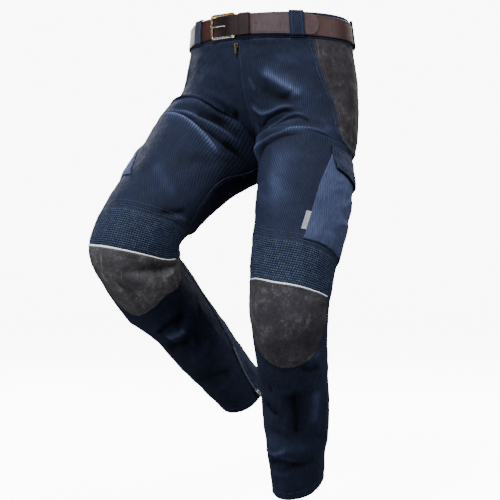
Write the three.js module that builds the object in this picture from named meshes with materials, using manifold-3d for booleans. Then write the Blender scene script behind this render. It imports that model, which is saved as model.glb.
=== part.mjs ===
// Motorcycle trousers with their belt, as worn with both knees bent. Millimetres, +Z up, the front
// faces -Y and the wearer's left leg is at +X. The origin is the middle of the waist opening.
// Every panel is cut from one surface for each half of the garment. Its point (u, v) goes round the
// leg with u, from the front edge (0) over the outseam (about 0.5) to the back edge (1), and down it
// with v: 0 waist, 1 crotch, 2 knee, 3 hem.
import * as THREE from 'three';
import Module from 'manifold-3d';

const wasm = await Module();
wasm.setup();

const CLOTH = 1.6;
const BAND = 2.4;
const SUEDE = 1.8;
const PATCH = 2.0;
const TAPE = 1.0;
const LABEL = 0.9;
const SEAM = 0.3;
const HALF_GAP = 0.15;
const LAY = 0.4;
const RIB_HEIGHT = 1.3;
const RIBS_PER_CELL = 4;
const POCKET_SWELL = 8;
const GIRTH = 560;
const LEG_STEP = 330;
const CROTCH = [0, 2, -264];

const named = (columns, row) => Object.fromEntries(columns.map((name, i) => [name, row[i]]));
const table = (columns, rows) => rows.map((row) => named(columns, row));
const vector = (list) => new THREE.Vector3(...list);
const radians = THREE.MathUtils.degToRad;
const lerp = THREE.MathUtils.lerp;
const ease = (x) => THREE.MathUtils.smoothstep(x, 0, 1);
const UP = new THREE.Vector3(0, 0, 1);
const ACROSS = new THREE.Vector3(1, 0, 0);

// Rings of the trunk: middle, half width, depth in front and behind, tilt and share of the thigh ring
const TRUNK = table(['v', 'y', 'z', 'wide', 'front', 'back', 'tilt', 'share'], [
  [0.00, 0, 0, 165, 116, 124, 2, 0.00],
  [0.15, 2, -45, 170, 118, 130, 3, 0.00],
  [0.35, 4, -100, 179, 120, 137, 6, 0.05],
  [0.55, 6, -150, 184, 118, 142, 10, 0.18],
  [0.72, 8, -190, 186, 114, 142, 14, 0.42],
  [0.87, 10, -220, 184, 108, 136, 18, 0.72],
]);

// Rings of a leg: t runs 0 crotch, 1 knee, 2 hem, with the reach each way from the bone line
const RING = ['t', 'front', 'back', 'outer', 'inner', 'twist'];

// Folds: a path from one end to the other with a bow in mm, its half width and its height
const FOLD = ['u1', 'v1', 'u2', 'v2', 'bow', 'width', 'height'];

// Cut lines: the top and foot of the ribbed knee panel at each u
const CUT = ['u', 'top', 'foot'];

const LEGS = [
  {
    name: 'left',
    side: 1,
    tilt: 18,
    shift: 35,
    hemRoll: 0.25,
    bend: 125,
    knee: [148, -176, -562],
    hem: [97, -46, -880],
    lift: [0, 0, 0, 0, 0, 0],
    rings: table(RING, [
      [0.00, 106, 112, 104, 83, 0],
      [0.14, 101, 106, 102, 76, 0],
      [0.35, 95, 98, 97, 71, 0],
      [0.60, 87, 88, 88, 70, 0],
      [0.82, 81, 77, 78, 70, 0],
      [1.00, 76, 68, 72, 67, 0],
      [1.18, 71, 65, 69, 62, 0],
      [1.40, 63, 64, 66, 58, -4],
      [1.65, 61, 60, 62, 58, -14],
      [1.85, 56, 51, 52, 55, -22],
      [2.00, 54, 48, 47, 53, -26],
    ]),
    folds: table(FOLD, [
      [0.10, 1.14, 0.44, 0.84, 26, 12, 4.5],
      [0.13, 1.17, 0.40, 0.98, 20, 10, -3.5],
      [0.12, 1.03, 0.30, 0.74, 10, 14, 3.5],
      [0.06, 0.78, 0.30, 0.68, -6, 12, -3.5],
      [0.08, 0.34, 0.31, 0.63, 4, 18, 3.5],
      [0.07, 0.47, 0.25, 0.66, 0, 11, -2.5],
      [0.10, 2.42, 0.26, 2.52, 4, 12, -3.5],
      [0.12, 2.66, 0.44, 2.68, -6, 16, 3.0],
      [0.56, 1.72, 0.94, 1.66, 8, 13, 4.0],
      [0.54, 1.86, 0.95, 1.82, 6, 12, -4.0],
      [0.56, 1.98, 0.94, 1.98, -6, 13, 4.0],
      [0.60, 1.08, 0.92, 0.98, 10, 16, -4.0],
      [0.58, 2.36, 0.90, 2.44, 6, 16, 3.0],
    ]),
    cuts: table(CUT, [
      [0.00, 1.540, 1.800],
      [0.10, 1.565, 1.835],
      [0.20, 1.640, 1.870],
      [0.30, 1.670, 1.885],
      [0.50, 1.678, 1.895],
      [0.75, 1.620, 1.860],
      [1.00, 1.540, 1.800],
    ]),
    patch: { from: 0.055, to: 0.462, foot: [[0.478, 1.99], [0.462, 2.06], [0.415, 2.115], [0.335, 2.155],
      [0.250, 2.168], [0.175, 2.150], [0.105, 2.10], [0.065, 2.02]] },
  },
  {
    name: 'right',
    side: -1,
    tilt: 46,
    shift: 80,
    hemRoll: 0,
    bend: 92,
    knee: [-161, -272, -450],
    hem: [-117, 84, -730],
    lift: [0, 0, 0.08, 0.19, 0.19, 0.10],
    rings: table(RING, [
      [0.00, 118, 101, 106, 84, 0],
      [0.14, 110, 91, 103, 78, 0],
      [0.35, 99, 95, 96, 82, 0],
      [0.60, 88, 88, 86, 80, -14],
      [0.80, 82, 80, 81, 76, -36],
      [1.00, 90, 89, 76, 74, -50],
      [1.18, 66, 87, 70, 70, -50],
      [1.40, 58, 77, 66, 64, -46],
      [1.65, 60, 66, 62, 60, -26],
      [1.85, 58, 56, 57, 56, -4],
      [2.00, 56, 53, 55, 54, 4],
    ]),
    folds: table(FOLD, [
      [0.32, 1.14, 0.03, 1.05, -12, 10, 3.5],
      [0.33, 1.20, 0.04, 1.10, -14, 9, -4.5],
      [0.32, 1.23, 0.05, 1.28, -8, 11, 4.5],
      [0.23, 1.16, 0.11, 1.06, 0, 10, -3.0],
      [0.10, 0.92, 0.26, 0.76, 6, 16, 2.5],
      [0.30, 1.97, 0.10, 2.07, 4, 11, -3.0],
      [0.31, 2.38, 0.14, 2.36, 8, 13, 3.5],
      [0.36, 2.28, 0.15, 2.25, 6, 11, 3.0],
      [0.56, 1.70, 0.94, 1.62, 8, 12, 4.0],
      [0.56, 1.80, 0.95, 1.74, 6, 11, -4.5],
      [0.56, 1.92, 0.94, 1.88, -6, 12, 4.0],
      [0.60, 1.04, 0.92, 0.94, 10, 16, -4.0],
      [0.60, 2.40, 0.92, 2.46, 6, 16, 3.0],
    ]),
    cuts: table(CUT, [
      [0.00, 1.700, 2.030],
      [0.10, 1.750, 2.010],
      [0.20, 1.800, 1.975],
      [0.30, 1.820, 1.960],
      [0.50, 1.840, 1.965],
      [0.75, 1.790, 1.990],
      [1.00, 1.700, 2.030],
    ]),
    patch: { from: 0.028, to: 0.450, foot: [[0.452, 2.04], [0.430, 2.105], [0.385, 2.155], [0.325, 2.175],
      [0.240, 2.168], [0.165, 2.160], [0.095, 2.190], [0.045, 2.170], [0.026, 2.110]] },
  },
];

// Smooth curve through values at uneven stations, with a corner of the given sharpness at one of them
function spline(stations, values, x, corner = -1, sharp = 0) {
  const last = stations.length - 2;
  const slope = (i) => (values[i + 1] - values[i]) / (stations[i + 1] - stations[i]);
  const tangent = (i, own) => {
    if (i === 0) return slope(0);
    if (i > last) return slope(last);
    const before = stations[i] - stations[i - 1];
    const after = stations[i + 1] - stations[i];
    const even = (slope(i - 1) * after + slope(i) * before) / (before + after);
    return i === corner ? lerp(even, slope(own), sharp) : even;
  };
  let i = 0;
  while (i < last && x > stations[i + 1]) i += 1;
  const step = stations[i + 1] - stations[i];
  const s = (x - stations[i]) / step;
  return (1 + 2 * s) * (1 - s) ** 2 * values[i] + s * (1 - s) ** 2 * step * tangent(i, i)
    + s * s * (3 - 2 * s) * values[i + 1] + s * s * (s - 1) * step * tangent(i + 1, i);
}

// Bone line of a leg: straight, an arc at the knee, straight
function boneLine(leg) {
  const angle = radians(leg.tilt);
  const ahead = new THREE.Vector3(0, -Math.cos(angle), Math.sin(angle));
  const start = vector(CROTCH).addScaledVector(ACROSS, leg.side * leg.rings[0].inner);
  start.addScaledVector(ahead, leg.shift);
  const knee = vector(leg.knee);
  const hem = vector(leg.hem);
  const thigh = knee.clone().sub(start).normalize();
  const shin = hem.clone().sub(knee).normalize();
  const turn = thigh.angleTo(shin);
  const cut = leg.bend * Math.tan(turn / 2);
  const arc = leg.bend * turn;
  const upper = knee.distanceTo(start) - cut;
  const lower = hem.distanceTo(knee) - cut;
  const aside = shin.clone().addScaledVector(thigh, -thigh.dot(shin)).normalize();
  const centre = knee.clone().addScaledVector(thigh, -cut).addScaledVector(aside, leg.bend);
  const axis = thigh.clone().cross(shin).normalize();
  if (axis.x < 0) axis.negate();
  const at = (t) => {
    const s = t < 1 ? t * (upper + arc / 2) : upper + arc / 2 + (t - 1) * (lower + arc / 2);
    if (s < upper) return [start.clone().addScaledVector(thigh, s), thigh.clone()];
    if (s > upper + arc) return [knee.clone().addScaledVector(shin, cut + s - upper - arc), shin.clone()];
    const f = (s - upper) / leg.bend;
    const point = centre.clone().addScaledVector(aside, -leg.bend * Math.cos(f));
    point.addScaledVector(thigh, leg.bend * Math.sin(f));
    const along = aside.clone().multiplyScalar(Math.sin(f)).addScaledVector(thigh, Math.cos(f));
    return [point, along];
  };
  const down = new THREE.Vector3(0, -Math.sin(angle), -Math.cos(angle));
  return { at, axis, ahead, down };
}

// One ring of a leg as a function of u
function legRing(leg, bone, ring) {
  const [middle, tangent] = bone.at(ring.t);
  const set = ease(ring.t / 0.5);
  const turned = ease(ring.t / 0.9);
  const across = ACROSS.clone().lerp(bone.axis, turned).normalize();
  const along = bone.down.clone().lerp(tangent, set).normalize();
  along.addScaledVector(across, leg.side * leg.hemRoll * ease((ring.t - 1.6) / 0.4)).normalize();
  const right = across.clone().addScaledVector(along, -across.dot(along)).normalize();
  const front = along.clone().cross(right);
  return (u) => {
    const angle = -Math.PI / 2 + 2 * Math.PI * u + radians(ring.twist);
    const c = Math.cos(angle);
    const s = Math.sin(angle);
    const point = middle.clone().addScaledVector(front, c * (c > 0 ? ring.front : ring.back));
    point.addScaledVector(right, leg.side * s * (s > 0 ? ring.outer : ring.inner));
    const pull = (1 - set) * (0.5 - 0.5 * s) ** 2.5;
    return point.addScaledVector(bone.ahead, -pull * leg.shift);
  };
}

// One ring of the trunk, half an ellipse that blends into the first ring of the thigh
function trunkRing(leg, ring, lift, thigh) {
  const angle = radians(ring.tilt);
  return (u) => {
    const c = Math.cos(Math.PI * u);
    const s = Math.sin(Math.PI * u);
    const reach = c * (c > 0 ? ring.front : ring.back);
    const point = new THREE.Vector3(leg.side * ring.wide * s, ring.y - reach * Math.cos(angle),
      ring.z + reach * Math.sin(angle));
    return point.lerp(thigh(u), ring.share + lift * s * s);
  };
}

// The surface of one half: place(u, v, out) is its point moved out along the normal
function halfSurface(leg) {
  const bone = boneLine(leg);
  const thigh = legRing(leg, bone, leg.rings[0]);
  const rows = [
    ...TRUNK.map((ring, i) => ({ v: ring.v, at: trunkRing(leg, ring, leg.lift[i], thigh) })),
    ...leg.rings.map((ring) => ({ v: 1 + ring.t, at: legRing(leg, bone, ring) })),
  ];
  const stations = rows.map((row) => row.v);
  const bare = (u, v) => {
    const points = rows.map((row) => row.at(u));
    const sharp = (0.5 + 0.5 * Math.cos(2 * Math.PI * u)) ** 3;
    const along = (name) => spline(stations, points.map((p) => p[name]), v, TRUNK.length, sharp);
    const point = new THREE.Vector3(along('x'), along('y'), along('z'));
    point.x = leg.side * Math.max(leg.side * point.x, HALF_GAP);
    return point;
  };
  const normal = (u, v) => {
    const e = 0.004;
    const du = bare(Math.min(u + e, 1), v).sub(bare(Math.max(u - e, 0), v));
    const dv = bare(u, Math.min(v + e, 3)).sub(bare(u, Math.max(v - e, 0)));
    return dv.cross(du).multiplyScalar(leg.side).normalize();
  };
  const foldHeight = (u, v) => leg.folds.reduce((sum, fold) => sum + foldAt(fold, u, v), 0);
  return (u, v, out) => {
    const point = bare(u, v);
    const clear = ease((Math.abs(point.x) - HALF_GAP) / 30) * ease(u / 0.07) * ease((1 - u) / 0.07);
    point.addScaledVector(normal(u, v), out + clear * foldHeight(u, v));
    point.x = leg.side * Math.max(leg.side * point.x, HALF_GAP);
    return point;
  };
}

// Height of one fold at (u, v), faded at its ends and sides
function foldAt(fold, u, v) {
  const path = new THREE.Vector2((fold.u2 - fold.u1) * GIRTH, (fold.v2 - fold.v1) * LEG_STEP);
  const from = new THREE.Vector2((u - fold.u1) * GIRTH, (v - fold.v1) * LEG_STEP);
  const s = from.dot(path) / path.lengthSq();
  if (s < 0 || s > 1) return 0;
  const aside = from.cross(path) / path.length() - fold.bow * 4 * s * (1 - s);
  return fold.height * Math.exp(-((aside / fold.width) ** 2)) * ease(s * 4) * ease((1 - s) * 4);
}

// Cut lines across the leg, each a value of v at u, and the cells between one and the next
const WAIST_SEAM = 0.17;
const HIP_TIP = 0.96;
const HIP_END = 0.98;
const HIP_FOLD = 0.56;
const GROIN_FOOT = 1.30;
const CALF = 2.26;
const HEM = 3;
const ROWS = table(['name', 'cells'], [
  ['waistSeam', 4],
  ['hipFold', 5],
  ['hipTip', 1],
  ['hipEnd', 6],
  ['groinFoot', 3],
  ['stretchTop', 5],
  ['stretchFoot', 5],
  ['calf', 9],
  ['hem', 0],
]);

function cutLines(leg) {
  const cut = (name) => (u) => spline(leg.cuts.map((row) => row.u), leg.cuts.map((row) => row[name]), u);
  return {
    waistSeam: () => WAIST_SEAM,
    hipFold: () => HIP_FOLD,
    hipTip: () => HIP_TIP,
    hipEnd: () => HIP_END,
    groinFoot: () => GROIN_FOOT,
    stretchTop: cut('top'),
    stretchFoot: cut('foot'),
    calf: () => CALF,
    hem: () => HEM,
  };
}

// Side lines: the hip inset lies between its two edges, and below it they meet in the outseam
const OUTSEAM = table(['v', 'u'], [
  [HIP_END, 0.552],
  [1.30, 0.515],
  [1.60, 0.500],
  [3.00, 0.500],
]);
const SIDES = table(['v', 'front', 'back'], [
  [0.17, 0.295, 0.570],
  [0.31, 0.315, 0.605],
  [0.41, 0.335, 0.640],
  [0.53, 0.372, 0.662],
  [0.66, 0.412, 0.665],
  [0.81, 0.448, 0.635],
  [0.88, 0.485, 0.605],
  [0.96, 0.548, 0.558],
]);
const COLUMNS = 11;
const BACK_COLUMNS = 10;
const HIP_COLUMNS = 5;

function sideLine(name, v) {
  if (v >= HIP_END) return spline(OUTSEAM.map((row) => row.v), OUTSEAM.map((row) => row.u), v);
  return spline(SIDES.map((row) => row.v), SIDES.map((row) => row[name]), v);
}

// Column lines of each strip of cloth: u at a share s of its width
const STRIPS = {
  front: (s, v) => s * sideLine('front', v),
  hip: (s, v) => lerp(sideLine('front', v), sideLine('back', v), s),
  back: (s, v) => lerp(sideLine('back', v), 1, s),
};

// All row lines between two cut lines, as functions of u
function rowLines(leg, from, to) {
  const cuts = cutLines(leg);
  const first = ROWS.findIndex((row) => row.name === from);
  const last = ROWS.findIndex((row) => row.name === to);
  const lines = [];
  for (let k = first; k < last; k += 1) {
    const { name, cells } = ROWS[k];
    for (let i = 0; i < cells; i += 1) {
      lines.push((u) => lerp(cuts[name](u), cuts[ROWS[k + 1].name](u), i / cells));
    }
  }
  return [...lines, cuts[to]];
}

// Point (u, v) where a column line crosses a row line
function crossing(strip, share, line) {
  let v = line(0.5);
  for (let i = 0; i < 6; i += 1) v = line(STRIPS[strip](share, v));
  return [STRIPS[strip](share, v), v];
}

// Grid of (u, v) over a strip between two cut lines
function panelGrid(leg, strip, from, to, cells) {
  const shares = Array.from({ length: cells + 1 }, (_, i) => i / cells);
  return rowLines(leg, from, to).map((line) => shares.map((share) => crossing(strip, share, line)));
}

// Grid that runs over the front and the back strip, across the outseam
function roundGrid(leg, from, to) {
  const front = panelGrid(leg, 'front', from, to, COLUMNS);
  const back = panelGrid(leg, 'back', from, to, BACK_COLUMNS);
  return front.map((row, i) => [...row, ...back[i].slice(1)]);
}

const lift = (surface, grid, out) => grid.map((row) => row.map(([u, v]) => surface(u, v, out(u, v))));

// Moves the edge of a grid of points in by half the seam gap, square to that edge
function trimEdge(rows) {
  const bottom = rows.length - 1;
  const end = rows[0].length - 1;
  const square = (point, next, before, after) => {
    const edge = after.clone().sub(before).normalize();
    const inward = next.clone().sub(point);
    return inward.addScaledVector(edge, -inward.dot(edge)).setLength(SEAM / 2);
  };
  return rows.map((row, i) => row.map((point, j) => {
    const moved = point.clone();
    const sides = [row[Math.max(j - 1, 0)], row[Math.min(j + 1, end)]];
    const ends = [rows[Math.max(i - 1, 0)][j], rows[Math.min(i + 1, bottom)][j]];
    if (i === 0) moved.add(square(point, rows[1][j], ...sides));
    if (i === bottom) moved.add(square(point, rows[bottom - 1][j], ...sides));
    if (j === 0) moved.add(square(point, row[1], ...ends));
    if (j === end) moved.add(square(point, row[end - 1], ...ends));
    return moved;
  }));
}

// Closed wall between an outer and an inner grid of points. The outer grid may have several rows
// for each row of the inner one. Its u runs to the wearer's left in front when side is 1.
function wall(outer, inner, side) {
  const width = inner[0].length;
  const fine = (outer.length - 1) / (inner.length - 1);
  const faces = [];
  const out = (i, j) => i * width + j;
  const within = (i, j) => (outer.length + i) * width + j;
  const face = (a, b, c) => faces.push(...(side > 0 ? [a, b, c] : [a, c, b]));
  const quad = (a, b, c, d) => {
    face(a, b, c);
    face(a, c, d);
  };
  for (let j = 0; j < width - 1; j += 1) {
    for (let i = 0; i < outer.length - 1; i += 1) {
      quad(out(i, j), out(i + 1, j), out(i + 1, j + 1), out(i, j + 1));
    }
    for (let i = 0; i < inner.length - 1; i += 1) {
      quad(within(i, j), within(i, j + 1), within(i + 1, j + 1), within(i + 1, j));
    }
    const low = outer.length - 1;
    const lowIn = inner.length - 1;
    quad(out(0, j), out(0, j + 1), within(0, j + 1), within(0, j));
    quad(out(low, j), within(lowIn, j), within(lowIn, j + 1), out(low, j + 1));
  }
  const end = width - 1;
  for (let i = 0; i < inner.length - 1; i += 1) {
    for (let k = i * fine; k < (i + 1) * fine; k += 1) {
      face(within(i, 0), out(k + 1, 0), out(k, 0));
      face(within(i, end), out(k, end), out(k + 1, end));
    }
    face(within(i, 0), within(i + 1, 0), out((i + 1) * fine, 0));
    face(within(i, end), out((i + 1) * fine, end), within(i + 1, end));
  }
  return meshData([...outer.flat(), ...inner.flat()], faces);
}

function meshData(points, faces) {
  const geometry = new THREE.BufferGeometry();
  geometry.setAttribute('position', new THREE.Float32BufferAttribute(points.flatMap((p) => p.toArray()), 3));
  geometry.setIndex(faces);
  return geometry;
}

const solid = (geometry) => new wasm.Manifold(new wasm.Mesh({
  numProp: 3,
  vertProperties: new Float32Array(geometry.getAttribute('position').array),
  triVerts: new Uint32Array(geometry.getIndex().array),
}));

function fromSolid(body) {
  const mesh = body.getMesh();
  const geometry = new THREE.BufferGeometry();
  geometry.setAttribute('position', new THREE.BufferAttribute(new Float32Array(mesh.vertProperties), 3));
  geometry.setIndex(Array.from(mesh.triVerts));
  return geometry;
}

// three.js shapes share no vertices, so they are welded before they become solids
function weld(geometry) {
  const source = geometry.index ? geometry.toNonIndexed() : geometry;
  const position = source.getAttribute('position');
  const known = new Map();
  const points = [];
  const faces = [];
  for (let i = 0; i < position.count; i += 1) {
    const point = new THREE.Vector3().fromBufferAttribute(position, i);
    const key = point.toArray().map((value) => Math.round(value * 1e4)).join();
    if (!known.has(key)) {
      known.set(key, points.length);
      points.push(point);
    }
    faces.push(known.get(key));
  }
  const kept = [];
  for (let i = 0; i < faces.length; i += 3) {
    const [a, b, c] = faces.slice(i, i + 3);
    if (a !== b && b !== c && a !== c) kept.push(a, b, c);
  }
  return meshData(points, kept);
}

const join = (...shapes) => fromSolid(shapes.map((shape) => solid(weld(shape))).reduce((a, b) => a.add(b)));

// Solid that takes in all the cloth layers over an outline of (u, v) points
function outlineCutter(surface, side, outline) {
  const deep = 12;
  const high = 30;
  const count = outline.length;
  const mean = (axis) => outline.reduce((sum, point) => sum + point[axis] / count, 0);
  const middle = [mean(0), mean(1)];
  const points = [
    ...outline.map(([u, v]) => surface(u, v, high)),
    ...outline.map(([u, v]) => surface(u, v, -deep)),
    surface(...middle, high),
    surface(...middle, -deep),
  ];
  const area = outline.reduce((sum, [u, v], i) => {
    const [u2, v2] = outline[(i + 1) % count];
    return sum + u * v2 - u2 * v;
  }, 0);
  const faces = [];
  const face = (a, b, c) => faces.push(...(area * side < 0 ? [a, b, c] : [a, c, b]));
  for (let i = 0; i < count; i += 1) {
    const next = (i + 1) % count;
    face(i, next, 2 * count);
    face(count + next, count + i, 2 * count + 1);
    face(i, count + i, count + next);
    face(i, count + next, next);
  }
  return meshData(points, faces);
}

// Piece of cloth that lies on the panels: their own points moved out, cut to an outline
function layOn(surface, side, grid, outline, rise, thick) {
  const sheet = wall(lift(surface, grid, (u, v) => rise(u, v) + thick), lift(surface, grid, rise), side);
  return fromSolid(solid(sheet).intersect(solid(outlineCutter(surface, side, outline))));
}

// Smooth closed or open run of points through a few corners
function rounded(corners, closed, count) {
  const knots = corners.map(([u, v]) => new THREE.Vector3(u, v, 0));
  const curve = new THREE.CatmullRomCurve3(knots, closed, 'centripetal');
  return curve.getPoints(count).map((p) => [p.x, p.y]);
}

const MATERIALS = {
  twill: new THREE.MeshStandardMaterial({ color: 0x1d2a47, roughness: 0.8, metalness: 0 }),
  ribbed: new THREE.MeshStandardMaterial({ color: 0x22324f, roughness: 0.85, metalness: 0 }),
  suede: new THREE.MeshStandardMaterial({ color: 0x47413d, roughness: 0.95, metalness: 0 }),
  reflective: new THREE.MeshStandardMaterial({ color: 0xd6d8da, roughness: 0.4, metalness: 0 }),
  label: new THREE.MeshStandardMaterial({ color: 0xb9bcc0, roughness: 0.7, metalness: 0 }),
  leather: new THREE.MeshStandardMaterial({ color: 0x3d2620, roughness: 0.5, metalness: 0 }),
  brass: new THREE.MeshStandardMaterial({ color: 0xc09a45, roughness: 0.3, metalness: 1 }),
  steel: new THREE.MeshStandardMaterial({ color: 0xb8babd, roughness: 0.3, metalness: 1 }),
  zip: new THREE.MeshStandardMaterial({ color: 0x2a2c30, roughness: 0.5, metalness: 0.2 }),
};

const trousers = new THREE.Group();
trousers.name = 'motorcycle_trousers';

function add(name, geometry, material, frame) {
  const mesh = new THREE.Mesh(geometry, MATERIALS[material]);
  mesh.name = name;
  if (frame) mesh.applyMatrix4(frame);
  trousers.add(mesh);
}

// Plain cloth panels: a wall over each grid
function addPanel(leg, surface, name, grid, thick, material) {
  const outer = trimEdge(lift(surface, grid, () => 0));
  const inner = trimEdge(lift(surface, grid, () => -thick));
  add(`${name}_${leg.name}`, wall(outer, inner, leg.side), material);
}

// Ribbed panel: ribs across the leg stand up from the flat facets between rows of the grid
function addRibbedPanel(leg, surface, grid) {
  const flat = lift(surface, grid, () => 0);
  const high = lift(surface, grid, () => RIB_HEIGHT);
  const steps = RIBS_PER_CELL * 2;
  const outer = [flat[0]];
  for (let i = 0; i < grid.length - 1; i += 1) {
    for (let k = 1; k <= steps; k += 1) {
      const up = k % 2;
      outer.push(flat[i].map((point, j) => {
        const low = point.clone().lerp(flat[i + 1][j], k / steps);
        const top = high[i][j].clone().lerp(high[i + 1][j], k / steps);
        return low.lerp(top, up);
      }));
    }
  }
  const inner = lift(surface, grid, () => -CLOTH);
  add(`knee_stretch_${leg.name}`, wall(trimEdge(outer), trimEdge(inner), leg.side), 'ribbed');
}

// Cargo pocket on the outseam, its front edge slanted forward to the foot
const POCKET = {
  top: 1.062,
  foot: 1.648,
  frontTop: 0.446,
  frontFoot: 0.322,
  backTop: 0.622,
  backFoot: 0.632,
};

const pocketFront = (down) => lerp(POCKET.frontTop, POCKET.frontFoot, down);
const pocketDown = (v) => (v - POCKET.top) / (POCKET.foot - POCKET.top);

function pocketShare(u, v) {
  const down = pocketDown(v);
  const front = pocketFront(down);
  const back = lerp(POCKET.backTop, POCKET.backFoot, down);
  return [(u - front) / (back - front), down];
}

function swell(u, v) {
  const [across, down] = pocketShare(u, v).map((share) => THREE.MathUtils.clamp(share, 0, 1));
  return POCKET_SWELL * Math.sin(Math.PI * across) ** 0.8 * Math.sin(Math.PI * down) ** 0.6;
}

function addPocket(leg, surface) {
  const grid = roundGrid(leg, 'hipEnd', 'stretchTop');
  const columns = (from, to) => grid.map((row) => row.slice(from, to + 1));
  const block = columns(6, COLUMNS + 4);
  const edge = [
    [POCKET.frontTop, POCKET.top], [pocketFront(0.42) - 0.004, 1.295],
    [POCKET.frontFoot, POCKET.foot - 0.02], [POCKET.frontFoot + 0.01, POCKET.foot], [0.48, POCKET.foot],
    [POCKET.backFoot - 0.01, POCKET.foot - 0.02], [POCKET.backFoot, POCKET.foot - 0.04],
    [POCKET.backTop, POCKET.top], [0.53, POCKET.top],
  ];
  const pocket = layOn(surface, leg.side, block, edge, (u, v) => LAY + swell(u, v), CLOTH);
  add(`cargo_pocket_${leg.name}`, pocket, 'twill');
  const flapEdge = [[0.436, 1.040], [0.630, 1.034], [0.636, 1.190], [0.505, 1.206], [0.450, 1.176]];
  const flapRise = (u, v) => 2 * LAY + CLOTH + swell(u, v);
  add(`cargo_flap_${leg.name}`, layOn(surface, leg.side, block, flapEdge, flapRise, CLOTH), 'twill');
}

// Blank label sewn into the front edge of the left pocket
function addLabel(leg, surface) {
  const block = roundGrid(leg, 'groinFoot', 'stretchTop').map((row) => row.slice(5, COLUMNS + 1));
  const [top, foot, wide] = [1.505, 1.612, 0.017];
  const back = (v) => pocketFront(pocketDown(v)) - 0.0055;
  const outline = [[back(top), top], [back(foot), foot], [back(foot) - wide, foot], [back(top) - wide, top]];
  add('side_label', layOn(surface, leg.side, block, outline, () => LAY, LABEL), 'label');
}

// White piping along the foot of the stretch panel, and the suede knee patch of its width under it
const PIPING = { top: 0.0016, foot: 0.0125, thick: 1.8 };
const PATCH_TOP = 0.0175;

function addKneePatch(leg, surface) {
  const block = panelGrid(leg, 'front', 'stretchFoot', 'hem', COLUMNS).slice(0, 9);
  const seam = cutLines(leg).stretchFoot;
  const { from, to, foot } = leg.patch;
  const across = Array.from({ length: 9 }, (_, i) => lerp(from, to, i / 8));
  const edge = (below) => across.map((u) => [u, seam(u) + below]);
  const pipe = layOn(surface, leg.side, block, [...edge(PIPING.top), ...edge(PIPING.foot).reverse()],
    () => LAY, PIPING.thick);
  add(`piping_${leg.name}`, pipe, 'reflective');
  const topEdge = edge(PATCH_TOP);
  const footEdge = rounded([topEdge[8], ...foot, topEdge[0]], false, 22).slice(1, -1);
  const patch = layOn(surface, leg.side, block, [...topEdge, ...footEdge], () => LAY, PATCH);
  add(`knee_patch_${leg.name}`, patch, 'suede');
}

const surfaces = LEGS.map(halfSurface);

LEGS.forEach((leg, i) => {
  const surface = surfaces[i];
  const grid = (strip, from, to, cells = COLUMNS) => panelGrid(leg, strip, from, to, cells);
  addPanel(leg, surface, 'front_thigh', grid('front', 'waistSeam', 'stretchTop'), CLOTH, 'twill');
  addPanel(leg, surface, 'hip_panel', grid('hip', 'waistSeam', 'hipTip', HIP_COLUMNS), SUEDE, 'suede');
  addPanel(leg, surface, 'back', grid('back', 'waistSeam', 'hem', BACK_COLUMNS), CLOTH, 'twill');
  addRibbedPanel(leg, surface, grid('front', 'stretchTop', 'stretchFoot'));
  addPanel(leg, surface, 'front_shin', grid('front', 'stretchFoot', 'hem'), CLOTH, 'twill');
  addKneePatch(leg, surface);
  addPocket(leg, surface);
});
addLabel(LEGS[0], surfaces[0]);

// Waistband and belt follow flat facets round the waist. Here w is 0 in front, 1 at the back over the
// wearer's left side, 2 in front again; h is the depth under the waist's edge and out the distance from it.
const WAIST_CELLS = 16;
const BAND_DEEP = 50;
const DEPTH_STEP = WAIST_SEAM / BAND_DEEP;

function waistNode(k, h, out) {
  const w = ((((k / WAIST_CELLS + 1) % 2) + 2) % 2) - 1;
  const surface = surfaces[w < 0 ? 1 : 0];
  const top = surface(Math.abs(w), 0, out);
  const point = top.lerp(surface(Math.abs(w), WAIST_SEAM, out), (h * DEPTH_STEP) / WAIST_SEAM);
  if (k % WAIST_CELLS === 0) point.x = 0;
  return point;
}

function waistPoint(w, h, out) {
  const k = Math.floor(w * WAIST_CELLS + 1e-6);
  return waistNode(k, h, out).lerp(waistNode(k + 1, h, out), w * WAIST_CELLS - k);
}

// Frame on the waist: x along the belt, y up, z out
function waistFrame(w, h, out) {
  const origin = waistPoint(w, h, out);
  const step = 0.3 / WAIST_CELLS;
  const along = waistPoint(w + step, h, out).sub(waistPoint(w - step, h, out)).normalize();
  const away = waistPoint(w, h, out + 1).sub(origin);
  return frameOf(origin, along, away);
}

function frameOf(origin, along, away) {
  const x = along.clone().normalize();
  const z = away.clone().addScaledVector(x, -away.dot(x)).normalize();
  return new THREE.Matrix4().makeBasis(x, z.clone().cross(x), z).setPosition(origin);
}

function addWaistband() {
  LEGS.forEach((leg, i) => {
    const us = Array.from({ length: WAIST_CELLS + 1 }, (_, k) => k / WAIST_CELLS);
    const grid = [0, WAIST_SEAM].map((v) => us.map((u) => [u, v]));
    addPanel(leg, surfaces[i], 'waistband', grid, BAND, 'twill');
  });
}

// Belt strap: from the buckle's hinge bar to the wearer's left, once round, through the frame and on
// over its own first stretch. Each row is a station: its place, its height over the band, its half width
const STRAP = 3.2;
const BELT_WIDE = 39;
const BELT_TOP = 1.5;
const SIDE_DROP = 5;
const SECOND_LAYER = LAY + STRAP + LAY;
const STRAP_LIFT = table(['w', 'rise'], [
  [0.012, LAY],
  [1.943, LAY],
  [1.973, 5.7],
  [2.000, 5.7],
  [2.050, SECOND_LAYER],
  [2.400, SECOND_LAYER],
]);
const STRAP_TIP = table(['w', 'share'], [
  [2.302, 1.00],
  [2.314, 0.86],
  [2.323, 0.60],
  [2.327, 0.25],
]);
const PRONG_SLOT = { w: 1.959, out: 4.5, long: 18, high: 3.6, deep: 14 };
const beltTop = (w) => BELT_TOP + SIDE_DROP * ease((1 - Math.abs(1 - (w % 2))) / 0.4);

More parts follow.
